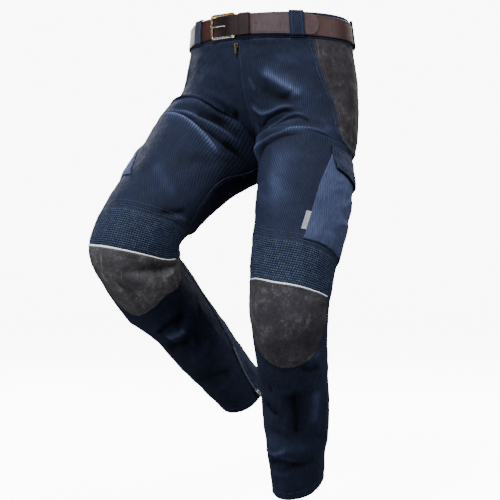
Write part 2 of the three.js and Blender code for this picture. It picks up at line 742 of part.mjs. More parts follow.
function strapRise(w) {
  const i = STRAP_LIFT.findIndex((row, k) => k > 0 && w <= row.w);
  const [from, to] = [STRAP_LIFT[i - 1], STRAP_LIFT[i]];
  return lerp(from.rise, to.rise, THREE.MathUtils.clamp((w - from.w) / (to.w - from.w), 0, 1));
}

function addStrap() {
  const nodes = Array.from({ length: 2.3 * WAIST_CELLS + 1 }, (_, k) => k / WAIST_CELLS).slice(1);
  const bends = STRAP_LIFT.slice(0, -1).map((row) => row.w).filter((w) => !nodes.includes(w));
  const full = [...nodes, ...bends].sort((a, b) => a - b).map((w) => ({ w, share: 1 }));
  const stations = [...full, ...STRAP_TIP];
  const grid = (rise) => [-0.5, 0.5].map((part) => stations.map(({ w, share }) => {
    const h = beltTop(w) + BELT_WIDE * (0.5 + part * share);
    return waistPoint(w, h, strapRise(w) + rise);
  }));
  const { w: place, out, long, high, deep } = PRONG_SLOT;
  const slot = new THREE.BoxGeometry(long, high, deep);
  slot.applyMatrix4(waistFrame(place, beltMiddle(place), out));
  add('belt_strap', fromSolid(solid(wall(grid(STRAP), grid(0), 1)).subtract(solid(weld(slot)))), 'leather');
}

const beltMiddle = (w) => beltTop(w) + BELT_WIDE / 2;

// Keeper: a leather band round the front of both layers, next to the buckle
const KEEPER_PLACE = 0.036;

function addKeeper() {
  const inside = BELT_WIDE / 2 + 0.6;
  const thick = 1.6;
  const level = 9.3;
  const back = 0.7;
  const outside = inside + thick;
  const front = level + thick;
  const corners = [[inside, back], [inside, level], [-inside, level], [-inside, back],
    [-outside, back], [-outside, front], [outside, front], [outside, back]];
  const shape = new THREE.Shape(corners.map(([y, z]) => new THREE.Vector2(y, z)));
  const wide = 19;
  const band = new THREE.ExtrudeGeometry(shape, { depth: wide, bevelEnabled: false });
  band.applyMatrix4(new THREE.Matrix4().makeBasis(new THREE.Vector3(0, 1, 0), UP, ACROSS));
  band.translate(-wide / 2, 0, 0);
  add('belt_keeper', weld(band), 'leather', waistFrame(KEEPER_PLACE, beltMiddle(KEEPER_PLACE), 0));
}

// Buckle: a flat frame from the hinge bar to the far bar, which lies on the strap, and its prong
const HINGE_BAR = { w: 1.9961, out: 2.0 };
const FAR_BAR = { w: 1.8934, out: SECOND_LAYER + 0.6 };

function addBuckle() {
  const bar = 4;
  const thick = 3.4;
  const middle = beltMiddle(0);
  const hinge = waistPoint(HINGE_BAR.w, middle, HINGE_BAR.out + thick / 2);
  const far = waistPoint(FAR_BAR.w, middle, FAR_BAR.out + thick / 2);
  const long = hinge.distanceTo(far);
  const outline = (width, height, corner) => {
    const shape = new THREE.Shape();
    const [x, y] = [width / 2, height / 2];
    shape.moveTo(-x + corner, -y).lineTo(x - corner, -y).quadraticCurveTo(x, -y, x, -y + corner);
    shape.lineTo(x, y - corner).quadraticCurveTo(x, y, x - corner, y).lineTo(-x + corner, y);
    shape.quadraticCurveTo(-x, y, -x, y - corner).lineTo(-x, -y + corner);
    return shape.quadraticCurveTo(-x, -y, -x + corner, -y);
  };
  const shape = outline(long + bar, BELT_WIDE + 9, 5);
  shape.holes.push(outline(long - bar, BELT_WIDE + 1.6, 2));
  const frame = new THREE.ExtrudeGeometry(shape, { depth: thick, bevelEnabled: false, curveSegments: 4 });
  const centre = (HINGE_BAR.w + FAR_BAR.w) / 2;
  const away = waistPoint(centre, middle, 10).sub(waistPoint(centre, middle, 0));
  const origin = hinge.clone().lerp(far, 0.5);
  frame.translate(0, 0, -thick / 2);
  add('buckle_frame', weld(frame), 'brass', frameOf(origin, hinge.clone().sub(far), away));

  const route = table(['w', 'out'], [
    [1.9906, 3.7],
    [1.974, 3.7],
    [1.954, 5.2],
    [1.922, 7.7],
    [1.896, 9.6],
    [1.884, 9.6],
  ]);
  const path = new THREE.CatmullRomCurve3(route.map(({ w, out }) => waistPoint(w, middle, out)));
  const round = new THREE.Shape().absarc(0, 0, 1.2, 0, 2 * Math.PI);
  const prong = new THREE.ExtrudeGeometry(round, { steps: 10, curveSegments: 8, extrudePath: path });
  add('buckle_prong', weld(prong), 'steel');
}

// Belt loops: strips sewn to the band above and below the belt
const LOOPS = table(['name', 'w', 'over'], [
  ['belt_loop_front_left', 0.2375, SECOND_LAYER + STRAP + LAY],
  ['belt_loop_side_left', 0.640, SECOND_LAYER],
  ['belt_loop_back', 1.000, SECOND_LAYER],
  ['belt_loop_side_right', 1.360, SECOND_LAYER],
  ['belt_loop_front_right', 1.7975, SECOND_LAYER],
]);
const LOOP_WIDE = 0.058;
const LOOP_THICK = 1.8;

function addLoop({ name, w, over }) {
  const foot = beltTop(w) + BELT_WIDE + 1.1;
  const rows = table(['outerDeep', 'outer', 'innerDeep', 'inner'], [
    [-1.6, LAY, 0.2, LAY],
    [-1.6, over + LOOP_THICK, 0.2, over],
    [foot + LOOP_THICK, over + LOOP_THICK, foot, over],
    [foot + LOOP_THICK, LAY + LOOP_THICK, foot, LAY],
    [BAND_DEEP - 0.5, LAY + LOOP_THICK, BAND_DEEP - 0.5, LAY],
  ]);
  const edges = [w - LOOP_WIDE / 2, w + LOOP_WIDE / 2];
  const node = Math.round(w * WAIST_CELLS) / WAIST_CELLS;
  const places = node > edges[0] && node < edges[1] ? [edges[0], node, edges[1]] : edges;
  const outer = rows.map((row) => places.map((place) => waistPoint(place, row.outerDeep, row.outer)));
  const inner = rows.map((row) => places.map((place) => waistPoint(place, row.innerDeep, row.inner)));
  add(name, wall(outer, inner, 1), 'twill');
}

// Fly: the underlap behind the front edges
function addUnderlap() {
  const [left, right] = LEGS.map((leg, i) => {
    const grid = panelGrid(leg, 'front', 'waistSeam', 'hipFold', COLUMNS).map((row) => row.slice(0, 3));
    return (out) => lift(surfaces[i], grid, () => out);
  });
  const sheet = (out) => right(out).map((row, i) => {
    const edge = row[0].clone().setX(0);
    return [row[2], row[1], edge, ...left(out)[i].slice(1)];
  });
  add('fly_underlap', wall(sheet(-CLOTH - LAY), sheet(-CLOTH - LAY - TAPE), 1), 'twill');
}

// Zip slider with its bridge, and the pull tab that swings on a bar under that bridge.
// Both are drawn round the bar: x along it, y up the tab, z out from the cloth.
const SLIDER = { wide: 7.5, long: 9, thick: 2.4 };
const BAR_RADIUS = 0.8;
const BAR_RISE = 1.2;

function sliderShape() {
  const { wide, long, thick } = SLIDER;
  const plate = new THREE.BoxGeometry(wide, long, thick).translate(0, 0, -BAR_RISE - thick / 2);
  const post = (y) => new THREE.BoxGeometry(1.6, 1.4, 3.6).translate(0, y, 0.3);
  const bridge = new THREE.BoxGeometry(1.6, 6, 1).translate(0, 0, 1.7);
  return join(plate, post(2.3), post(-2.3), bridge);
}

function pullShape(wide, long, thick) {
  const bar = new THREE.CylinderGeometry(BAR_RADIUS, BAR_RADIUS, wide, 12).rotateZ(Math.PI / 2);
  const reach = 5;
  const arm = (x) => new THREE.BoxGeometry((wide - 2.4) / 2, reach, thick).translate(x, -reach / 2, 0);
  const armX = (wide + 2.4) / 4;
  const plate = new THREE.Shape();
  const [x, foot] = [wide / 2, -long];
  plate.moveTo(-x, -reach + 0.6).lineTo(-x, foot + 1.5).quadraticCurveTo(-x, foot, -x + 1.5, foot);
  plate.lineTo(x - 1.5, foot).quadraticCurveTo(x, foot, x, foot + 1.5).lineTo(x, -reach + 0.6);
  const tongue = new THREE.ExtrudeGeometry(plate, { depth: thick, bevelEnabled: false, curveSegments: 3 });
  return join(bar, arm(armX), arm(-armX), tongue.translate(0, 0, -thick / 2));
}

// The tab hangs as its weight takes it, but never into the cloth
function addZipPull(place, frame, pull, material) {
  const weight = UP.clone().negate().transformDirection(frame.clone().invert());
  const swing = Math.max(0, Math.atan2(weight.z, -weight.y));
  const hung = frame.clone().multiply(new THREE.Matrix4().makeRotationX(-swing));
  add(`${place}_slider`, sliderShape(), material, frame);
  add(`${place}_pull`, pullShape(pull.wide, pull.long, pull.thick), material, hung);
}

// The slider lies on the zip at a point of the surface, its tab hanging down along the cloth
function zipFrame(point, away, down) {
  const along = away.clone().cross(down);
  const rise = SLIDER.thick + BAR_RISE;
  return frameOf(point.clone().addScaledVector(away, rise), along, away);
}

const FLY_PULL = { v: 0.205, wide: 4.4, long: 15, thick: 1.2 };

function addFlyZip() {
  const seat = surfaces[0](0, FLY_PULL.v, LAY).setX(0);
  const away = surfaces[0](0, FLY_PULL.v, 1 + LAY).setX(0).sub(seat).normalize();
  addZipPull('fly', zipFrame(seat, away, UP.clone().negate()), FLY_PULL, 'brass');
}

// Ankle zip on the inseam: the chain lies on the seam, the slider at its foot
const CHAIN = { half: 3, thick: 1.6, foot: 2.978, cells: 4 };
const ANKLE_PULL = { v: 2.952, wide: 6, long: 22, thick: 1.4 };

function addAnkleZip(leg, surface) {
  const front = panelGrid(leg, 'front', 'calf', 'hem', COLUMNS);
  const back = panelGrid(leg, 'back', 'calf', 'hem', BACK_COLUMNS);
  const first = front.length - 1 - CHAIN.cells;
  const foot = front.length - 1;
  const short = (CHAIN.foot - front[foot - 1][0][1]) / (3 - front[foot - 1][0][1]);
  const across = (row, out) => {
    const seam = surface(...front[row][0], out);
    const aside = (u, v) => surface(u, v, out).sub(seam).setLength(CHAIN.half).add(seam);
    return [aside(...back[row][BACK_COLUMNS - 1]), seam, aside(...front[row][1])];
  };
  const sheet = (out) => {
    const rows = [];
    for (let row = first; row <= foot; row += 1) rows.push(across(row, out));
    const before = rows[rows.length - 2];
    rows[rows.length - 1] = rows[rows.length - 1].map((point, j) => before[j].clone().lerp(point, short));
    return rows;
  };
  add(`ankle_zip_${leg.name}`, wall(sheet(LAY + CHAIN.thick), sheet(LAY), leg.side), 'zip');

  const seat = surface(0, ANKLE_PULL.v, LAY + CHAIN.thick + SEAM + 0.3);
  const away = surface(0, ANKLE_PULL.v, LAY + 10).sub(surface(0, ANKLE_PULL.v, LAY)).normalize();
  const down = surface(0, 3, 0).sub(surface(0, 2.9, 0)).normalize();
  addZipPull(`ankle_${leg.name}`, zipFrame(seat, away, down), ANKLE_PULL, 'steel');
}

addWaistband();
addStrap();
addKeeper();
addBuckle();
LOOPS.forEach(addLoop);
addUnderlap();
addFlyZip();
LEGS.forEach((leg, i) => addAnkleZip(leg, surfaces[i]));

export default trousers;
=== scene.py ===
"""Motorcycle trousers with a leather belt, worn, with both knees bent.

Every cloth piece is laid on the surface of its half of the garment, point (u, v): u goes round the
leg from the front edge (0) over the outseam (about 0.5) to the back edge (1), v goes down it, with
0 at the waist, 1 at the crotch, 2 at the knee and 3 at the hem. Lengths are in millimetres here and
in metres in the meshes.
"""

import math

import bpy
import numpy as np
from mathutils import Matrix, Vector


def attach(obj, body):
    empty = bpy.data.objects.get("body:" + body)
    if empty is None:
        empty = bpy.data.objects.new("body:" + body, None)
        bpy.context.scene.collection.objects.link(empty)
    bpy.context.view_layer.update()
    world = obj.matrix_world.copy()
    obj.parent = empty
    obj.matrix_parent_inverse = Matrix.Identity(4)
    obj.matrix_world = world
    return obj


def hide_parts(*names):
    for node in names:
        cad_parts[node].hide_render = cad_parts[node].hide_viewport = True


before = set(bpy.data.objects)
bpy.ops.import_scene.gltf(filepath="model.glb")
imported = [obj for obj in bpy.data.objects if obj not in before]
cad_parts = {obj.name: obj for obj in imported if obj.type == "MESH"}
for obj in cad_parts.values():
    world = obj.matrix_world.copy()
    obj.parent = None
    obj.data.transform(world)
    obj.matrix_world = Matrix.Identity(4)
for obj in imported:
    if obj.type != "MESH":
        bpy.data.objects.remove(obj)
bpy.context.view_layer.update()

MM = 0.001
BODY = "trousers"

# Camera of the photograph: its picture and focal length in pixels, its place round the garment, its
# distance from the point it looks at, and that point; then the height of the stage's floor
PHOTO_PIXELS = 500
FOCAL_PIXELS = 1255
CAMERA_AZIMUTH = math.radians(33)
CAMERA_DISTANCE = 2400
CAMERA_TARGET = (2, -72, -440)
FLOOR_LEVEL = -935

# Thickness of the cloths, and the gap between two that lie on each other
CLOTH = 1.6
BAND = 2.4
SUEDE = 1.8
PATCH = 2.0
LABEL = 0.9
LAY = 0.4

# Each half keeps HALF_GAP from the middle plane; its front and back edge, for LAP_ZONE of u, come
# HALF_LAP back towards it and over it, so that no light shows between the halves
HALF_GAP = 0.02
HALF_LAP = 0.2
LAP_ZONE = 0.01

# Folds fade out within FADE_WIDE of the middle plane and within FADE_ZONE of u at those edges
FADE_WIDE = 30
FADE_ZONE = 0.07

# Ribs of the stretch cloth under its plain band, and the swell of the cargo pockets
RIB_HEIGHT = 1.3
RIB_COUNT = 18
RIB_BAND = 9
ROW_HEIGHT = 5
POCKET_SWELL = 8

# Length of cloth that 1 of u and 1 of v stand for along folds, creases and the grain
GIRTH = 560
LEG_STEP = 330

# Start of the legs, and v of the cuts that run level
CROTCH = (0, 2, -264)
WAIST_SEAM = 0.17
HIP_TIP = 0.96
HIP_END = 0.98
HEM = 3.0


def table(columns, rows):
    return [dict(zip(columns.split(), row)) for row in rows]


# Rings of the trunk from the waist down: height v, middle, half width, reach to the front and the
# back, tilt in degrees and share of the thigh's first ring in them
TRUNK = table("v y z wide front back tilt share", [
    (0.00, 0, 0, 165, 116, 124, 2, 0.00),
    (0.15, 2, -45, 170, 118, 130, 3, 0.00),
    (0.35, 4, -100, 179, 120, 137, 6, 0.05),
    (0.55, 6, -150, 184, 118, 142, 10, 0.18),
    (0.72, 8, -190, 186, 114, 142, 14, 0.42),
    (0.87, 10, -220, 184, 108, 136, 18, 0.72),
])
RING = "t front back outer inner twist"
FOLD = "u1 v1 u2 v2 bow width height"
CUT = "u top foot"

# Each leg: tilt and forward shift where it leaves the trunk, roll at the hem, radius of the knee's
# bend, knee and hem points, and lift, the extra share of the thigh in the trunk's rings at the side;
# then rings at t (0 crotch, 1 knee, 2 hem), folds, finer creases, cuts and knee patch, all in (u, v)
LEGS = [
    {
        "name": "left", "side": 1, "tilt": 18, "shift": 35, "hem_roll": 0.25, "bend": 125,
        "knee": (148, -176, -562), "hem": (97, -46, -880), "lift": (0, 0, 0, 0, 0, 0),
        "rings": table(RING, [
            (0.00, 106, 112, 104, 83, 0),
            (0.14, 101, 106, 102, 76, 0),
            (0.35, 95, 98, 97, 71, 0),
            (0.60, 87, 88, 88, 70, 0),
            (0.82, 81, 77, 78, 70, 0),
            (1.00, 76, 68, 72, 67, 0),
            (1.18, 71, 65, 69, 62, 0),
            (1.40, 63, 64, 66, 58, -4),
            (1.65, 61, 60, 62, 58, -14),
            (1.85, 56, 51, 52, 55, -22),
            (2.00, 54, 48, 47, 53, -26),
        ]),
        "folds": table(FOLD, [
            (0.10, 1.14, 0.44, 0.84, 26, 12, 4.5),
            (0.13, 1.17, 0.40, 0.98, 20, 10, -3.5),
            (0.12, 1.03, 0.30, 0.74, 10, 14, 3.5),
            (0.06, 0.78, 0.30, 0.68, -6, 12, -3.5),
            (0.08, 0.34, 0.31, 0.63, 4, 18, 3.5),
            (0.07, 0.47, 0.25, 0.66, 0, 11, -2.5),
            (0.10, 2.42, 0.26, 2.52, 4, 12, -3.5),
            (0.12, 2.66, 0.44, 2.68, -6, 16, 3.0),
            (0.56, 1.72, 0.94, 1.66, 8, 13, 4.0),
            (0.54, 1.86, 0.95, 1.82, 6, 12, -4.0),
            (0.56, 1.98, 0.94, 1.98, -6, 13, 4.0),
            (0.60, 1.08, 0.92, 0.98, 10, 16, -4.0),
            (0.58, 2.36, 0.90, 2.44, 6, 16, 3.0),
        ]),
        "creases": table(FOLD, [
            (0.12, 0.29, 0.26, 0.37, 3, 10, 1.2),
            (0.16, 0.60, 0.24, 0.52, 0, 6, -1.2),
            (0.34, 0.70, 0.41, 0.86, 5, 7, 1.4),
            (0.02, 0.70, 0.10, 0.86, 4, 6, 1.6),
            (0.13, 1.30, 0.19, 1.50, 4, 16, 1.2),
            (0.22, 1.25, 0.30, 1.48, -4, 20, 1.4),
            (0.08, 1.36, 0.12, 1.52, 0, 9, -1.2),
            (0.14, 2.58, 0.30, 2.62, 5, 7, -1.6),
            (0.17, 2.74, 0.34, 2.76, 4, 6, 1.6),
            (0.24, 2.79, 0.43, 2.78, -3, 6, -1.6),
            (0.15, 2.86, 0.30, 2.84, 2, 5, 1.2),
            (0.40, 2.60, 0.48, 2.70, 2, 7, -1.2),
            (0.60, 1.64, 0.90, 1.60, 4, 6, -1.8),
            (0.58, 1.78, 0.88, 1.76, 6, 5, 1.6),
            (0.62, 1.91, 0.92, 1.90, -4, 5, -1.8),
            (0.60, 2.06, 0.90, 2.10, -5, 8, -1.6),
            (0.62, 0.60, 0.80, 0.72, 6, 12, 1.6),
            (0.70, 0.90, 0.93, 0.84, 6, 9, -1.8),
            (0.62, 1.18, 0.88, 1.10, 8, 8, 1.8),
            (0.66, 1.30, 0.85, 1.26, 4, 9, -1.2),
            (0.60, 2.52, 0.82, 2.60, 3, 8, -1.6),
            (0.66, 2.70, 0.92, 2.74, -3, 8, 1.6),
            (0.58, 2.84, 0.80, 2.82, 2, 6, -1.2),
        ]),
        "cuts": table(CUT, [
            (0.00, 1.540, 1.800),
            (0.10, 1.565, 1.835),
            (0.20, 1.640, 1.870),
            (0.30, 1.670, 1.885),
            (0.50, 1.678, 1.895),
            (0.75, 1.620, 1.860),
            (1.00, 1.540, 1.800),
        ]),
        "patch": {
            "from": 0.055, "to": 0.452, "hidden": 0,
            "right": [(0.456, 1.985), (0.432, 2.055), (0.398, 2.115)],
            "foot": [(0.335, 2.155), (0.250, 2.168), (0.175, 2.150)],
            "left": [(0.105, 2.10), (0.065, 2.02)],
        },
    },
    {
        "name": "right", "side": -1, "tilt": 46, "shift": 80, "hem_roll": 0, "bend": 92,
        "knee": (-161, -272, -450), "hem": (-117, 84, -730), "lift": (0, 0, 0.08, 0.19, 0.19, 0.10),
        "rings": table(RING, [
            (0.00, 118, 101, 106, 84, 0),
            (0.14, 110, 91, 103, 78, 0),
            (0.35, 99, 95, 96, 82, 0),
            (0.60, 88, 88, 86, 80, -14),
            (0.80, 82, 80, 81, 76, -36),
            (1.00, 90, 89, 76, 74, -50),
            (1.18, 66, 87, 70, 70, -50),
            (1.40, 58, 77, 66, 64, -46),
            (1.65, 60, 66, 62, 60, -26),
            (1.85, 58, 56, 57, 56, -4),
            (2.00, 56, 53, 55, 54, 4),
        ]),
        "folds": table(FOLD, [
            (0.32, 1.14, 0.03, 1.05, -12, 10, 3.5),
            (0.33, 1.20, 0.04, 1.10, -14, 9, -4.5),
            (0.32, 1.23, 0.05, 1.28, -8, 11, 4.5),
            (0.23, 1.16, 0.11, 1.06, 0, 10, -3.0),
            (0.10, 0.92, 0.26, 0.76, 6, 16, 2.5),
            (0.30, 1.97, 0.10, 2.07, 4, 11, -3.0),
            (0.31, 2.38, 0.14, 2.36, 8, 13, 3.5),
            (0.36, 2.28, 0.15, 2.25, 6, 11, 3.0),
            (0.56, 1.70, 0.94, 1.62, 8, 12, 4.0),
            (0.56, 1.80, 0.95, 1.74, 6, 11, -4.5),
            (0.56, 1.92, 0.94, 1.88, -6, 12, 4.0),
            (0.60, 1.04, 0.92, 0.94, 10, 16, -4.0),
            (0.60, 2.40, 0.92, 2.46, 6, 16, 3.0),
        ]),
        "creases": table(FOLD, [
            (0.10, 0.69, 0.45, 0.69, 0, 57, 13.5),
            (0.10, 0.98, 0.45, 0.98, 0, 34, -17),
            (0.05, 1.32, 0.16, 1.50, 5, 12, -1.2),
            (0.13, 0.70, 0.26, 0.64, 5, 12, 1.4),
            (0.18, 0.96, 0.30, 1.03, 4, 8, -1.2),
            (0.06, 0.34, 0.20, 0.40, 3, 12, 0.9),
            (0.24, 1.55, 0.10, 1.66, 6, 14, 1.6),
            (0.20, 2.10, 0.08, 2.07, 4, 6, 1.5),
            (0.34, 2.44, 0.18, 2.42, 6, 8, -1.6),
            (0.28, 2.55, 0.10, 2.52, 6, 9, 1.6),
            (0.34, 2.66, 0.12, 2.64, 6, 8, -1.4),
            (0.30, 2.80, 0.08, 2.78, 4, 7, 1.4),
            (0.42, 2.20, 0.48, 2.36, 3, 7, 1.4),
            (0.05, 2.30, 0.12, 2.46, 2, 7, -1.4),
            (0.92, 2.20, 0.97, 2.40, 2, 8, 1.6),
            (0.60, 1.64, 0.90, 1.56, 4, 6, -2.0),
            (0.58, 1.75, 0.90, 1.69, 5, 5, 1.8),
            (0.62, 1.86, 0.92, 1.81, 3, 5, -2.0),
            (0.60, 2.00, 0.90, 1.98, -5, 7, -2.0),
            (0.60, 2.10, 0.88, 2.12, -5, 8, 1.6),
            (0.62, 0.60, 0.80, 0.72, 6, 12, 1.6),
            (0.70, 0.90, 0.93, 0.82, 6, 9, -1.8),
            (0.62, 1.16, 0.88, 1.06, 8, 8, 1.8),
            (0.60, 2.26, 0.86, 2.30, 4, 9, -1.6),
            (0.62, 2.56, 0.88, 2.62, 3, 8, -1.6),
            (0.66, 2.74, 0.92, 2.78, -3, 8, 1.6),
        ]),
        "cuts": table(CUT, [
            (0.00, 1.700, 2.030),
            (0.10, 1.750, 2.010),
            (0.20, 1.800, 1.975),
            (0.30, 1.820, 1.960),
            (0.50, 1.840, 1.965),
            (0.75, 1.790, 1.990),
            (1.00, 1.700, 2.030),
        ]),
        "patch": {
            "from": 0.028, "to": 0.450, "hidden": 2,
            "right": [(0.452, 2.04), (0.430, 2.105), (0.385, 2.155)],
            "foot": [(0.325, 2.175), (0.240, 2.168), (0.165, 2.160), (0.095, 2.190)],
            "left": [(0.045, 2.170), (0.026, 2.110)],
        },
    },
]

# Value of u on the outseam, and on the hip inset's front and back edge
OUTSEAM = table("v u", [(HIP_END, 0.552), (1.30, 0.515), (1.60, 0.500), (3.00, 0.500)])
SIDES = table("v front back", [
    (0.17, 0.295, 0.570),
    (0.31, 0.315, 0.605),
    (0.41, 0.335, 0.640),
    (0.53, 0.372, 0.662),
    (0.66, 0.412, 0.665),
    (0.81, 0.448, 0.635),
    (0.88, 0.485, 0.605),
    (0.96, 0.548, 0.558),
])


def column(rows, name):
    return np.array([row[name] for row in rows], float)


def unit(vectors):
    return vectors / np.maximum(np.linalg.norm(vectors, axis=-1, keepdims=True), 1e-12)


def ease(x):
    x = np.clip(x, 0, 1)
    return x * x * (3 - 2 * x)


def hump(x):
    return np.maximum(np.sin(math.pi * np.clip(x, 0, 1)), 0)


def lerp(a, b, share):
    return a + (b - a) * share


def spline(stations, values, x, corner=None, sharp=None):
    """Smooth curve through rows of values at uneven stations, one curve for each x."""
    stations = np.asarray(stations, float)
    step = np.diff(stations)
    wide = step.reshape((-1,) + (1,) * (values.ndim - 1))
    slope = np.diff(values, axis=0) / wide
    even = (slope[:-1] * wide[1:] + slope[1:] * wide[:-1]) / (wide[1:] + wide[:-1])
    leaving = np.concatenate([slope[:1], even, slope[-1:]])
    coming = leaving.copy()
    if corner is not None:
        leaving[corner] = lerp(leaving[corner], slope[corner], sharp)
        coming[corner] = lerp(coming[corner], slope[corner - 1], sharp)
    i = np.clip(np.searchsorted(stations, x) - 1, 0, len(stations) - 2)
    pick = (i, np.arange(len(x)))
    after = (i + 1, np.arange(len(x)))
    s = ((x - stations[i]) / step[i]).reshape((-1,) + (1,) * (values.ndim - 2))
    h = step[i].reshape(s.shape)
    return (
        (1 + 2 * s) * (1 - s) ** 2 * values[pick]
        + s * (1 - s) ** 2 * h * leaving[pick]
        + s * s * (3 - 2 * s) * values[after]
        + s * s * (s - 1) * h * coming[after]
    )


def curve(rows, key, name, x):
    """Smooth value of one column of a table at each x."""
    values = column(rows, name)[:, None] * np.ones(np.size(x))
    return spline(column(rows, key), values, np.ravel(x)).reshape(np.shape(x))


class Half:
    """The surface of the left or the right half of the garment."""

    def __init__(self, leg):
        self.leg = leg
        self.side = leg["side"]
        self.bone()
        self.stations = np.concatenate([column(TRUNK, "v"), 1 + column(leg["rings"], "t")])

    def bone(self):
        leg = self.leg
        angle = math.radians(leg["tilt"])
        self.ahead = np.array([0, -math.cos(angle), math.sin(angle)])
        self.down = np.array([0, -math.sin(angle), -math.cos(angle)])
        start = np.array(CROTCH, float) + self.ahead * leg["shift"]
        start[0] += leg["side"] * leg["rings"][0]["inner"]
        knee, hem = np.array(leg["knee"], float), np.array(leg["hem"], float)
        thigh, shin = unit(knee - start), unit(hem - knee)
        turn = math.acos(thigh @ shin)
        cut = leg["bend"] * math.tan(turn / 2)
        arc = leg["bend"] * turn
        upper = np.linalg.norm(knee - start) - cut
        lower = np.linalg.norm(hem - knee) - cut
        aside = unit(shin - thigh * (thigh @ shin))
        centre = knee - thigh * cut + aside * leg["bend"]
        axis = unit(np.cross(thigh, shin))
        self.axis = axis if axis[0] > 0 else -axis

        def at(t):
            s = t * (upper + arc / 2) if t < 1 else upper + arc / 2 + (t - 1) * (lower + arc / 2)
            if s < upper:
                return start + thigh * s, thigh
            if s > upper + arc:
                return knee + shin * (cut + s - upper - arc), shin
            f = (s - upper) / leg["bend"]
            point = centre + (thigh * math.sin(f) - aside * math.cos(f)) * leg["bend"]
            return point, aside * math.sin(f) + thigh * math.cos(f)

        self.at = at

    def leg_ring(self, ring, u):
        leg, side = self.leg, self.side
        middle, tangent = self.at(ring["t"])
        settled = ease(ring["t"] / 0.5)
        across = unit(lerp(np.array([1.0, 0, 0]), self.axis, ease(ring["t"] / 0.9)))
        along = unit(lerp(self.down, tangent, settled))
        along = unit(along + across * side * leg["hem_roll"] * ease((ring["t"] - 1.6) / 0.4))
        right = unit(across - along * (across @ along))
        front = np.cross(along, right)
        angle = -math.pi / 2 + 2 * math.pi * u + math.radians(ring["twist"])
        c, s = np.cos(angle), np.sin(angle)
        reach = c * np.where(c > 0, ring["front"], ring["back"])
        wide = side * s * np.where(s > 0, ring["outer"], ring["inner"])
        pull = (1 - settled) * (0.5 - 0.5 * s) ** 2.5 * leg["shift"]
        return middle + reach[:, None] * front + wide[:, None] * right - pull[:, None] * self.ahead

    def trunk_ring(self, ring, lift, thigh, u):
        angle = math.radians(ring["tilt"])
        c, s = np.cos(math.pi * u), np.sin(math.pi * u)
        reach = c * np.where(c > 0, ring["front"], ring["back"])
        points = np.stack([
            self.side * ring["wide"] * s,
            ring["y"] - reach * math.cos(angle),
            ring["z"] + reach * math.sin(angle),
        ], axis=-1)
        return lerp(points, thigh, (ring["share"] + lift * s * s)[:, None])

    def bare(self, u, v):
        thigh = self.leg_ring(self.leg["rings"][0], u)
        rows = [self.trunk_ring(ring, lift, thigh, u) for ring, lift in zip(TRUNK, self.leg["lift"])]
        rows += [self.leg_ring(ring, u) for ring in self.leg["rings"]]
        sharp = ((0.5 + 0.5 * np.cos(2 * math.pi * u)) ** 3)[:, None]
        points = spline(self.stations, np.stack(rows), v, len(TRUNK), sharp)
        points[:, 0] = self.side * np.maximum(self.side * points[:, 0], HALF_GAP)
        return points

    def normal(self, u, v):
        e = 0.004
        du = self.bare(np.minimum(u + e, 1), v) - self.bare(np.maximum(u - e, 0), v)
        dv = self.bare(u, np.minimum(v + e, HEM)) - self.bare(u, np.maximum(v - e, 0))
        return unit(np.cross(dv, du) * self.side)

    def clear(self, u, x):
        """Share of a fold's height: 0 where the half meets the other one or its own other edge."""
        edges = ease(u / FADE_ZONE) * ease((1 - u) / FADE_ZONE)
        return ease((np.abs(x) - HALF_GAP) / FADE_WIDE) * edges

    def place(self, u, v, out=0.0, fine=False):
        """Points of arrays u, v moved out along the normal, with the folds, and creases if fine."""
        shape = np.shape(u)
        u, v = np.ravel(np.asarray(u, float)), np.ravel(np.asarray(v, float))
        points, normal = self.bare(u, v), self.normal(u, v)
        lift = fold_height(self.leg["folds"], u, v)
        if fine:
            lift = lift + fold_height(self.leg["creases"], u, v)
            lift = lift + trail_height(TRAILS[self.leg["name"]], u, v)
            lift = lift + undulation(u * GIRTH, v * LEG_STEP, self.side)
        lift = lift * self.clear(u, points[:, 0]) + np.ravel(out * np.ones(shape))
        points = points + normal * lift[:, None]
        lap = HALF_LAP * (1 - ease(np.minimum(u, 1 - u) / LAP_ZONE))
        points[:, 0] = self.side * (np.maximum(self.side * points[:, 0], HALF_GAP) - lap)
        return points.reshape(shape + (3,))


def fold_height(folds, u, v):
    """Height of soft ridges and troughs along their paths, faded at the ends."""
    total = np.zeros_like(u)
    for fold in folds:
        path = np.array([(fold["u2"] - fold["u1"]) * GIRTH, (fold["v2"] - fold["v1"]) * LEG_STEP])
        x, y = (u - fold["u1"]) * GIRTH, (v - fold["v1"]) * LEG_STEP
        s = (x * path[0] + y * path[1]) / (path @ path)
        aside = (x * path[1] - y * path[0]) / np.linalg.norm(path) - fold["bow"] * 4 * s * (1 - s)
        ends = ease(s * 4) * ease((1 - s) * 4)
        height = fold["height"] * np.exp(-((aside / fold["width"]) ** 2)) * ends
        total += np.where((s > 0) & (s < 1), height, 0)
    return total


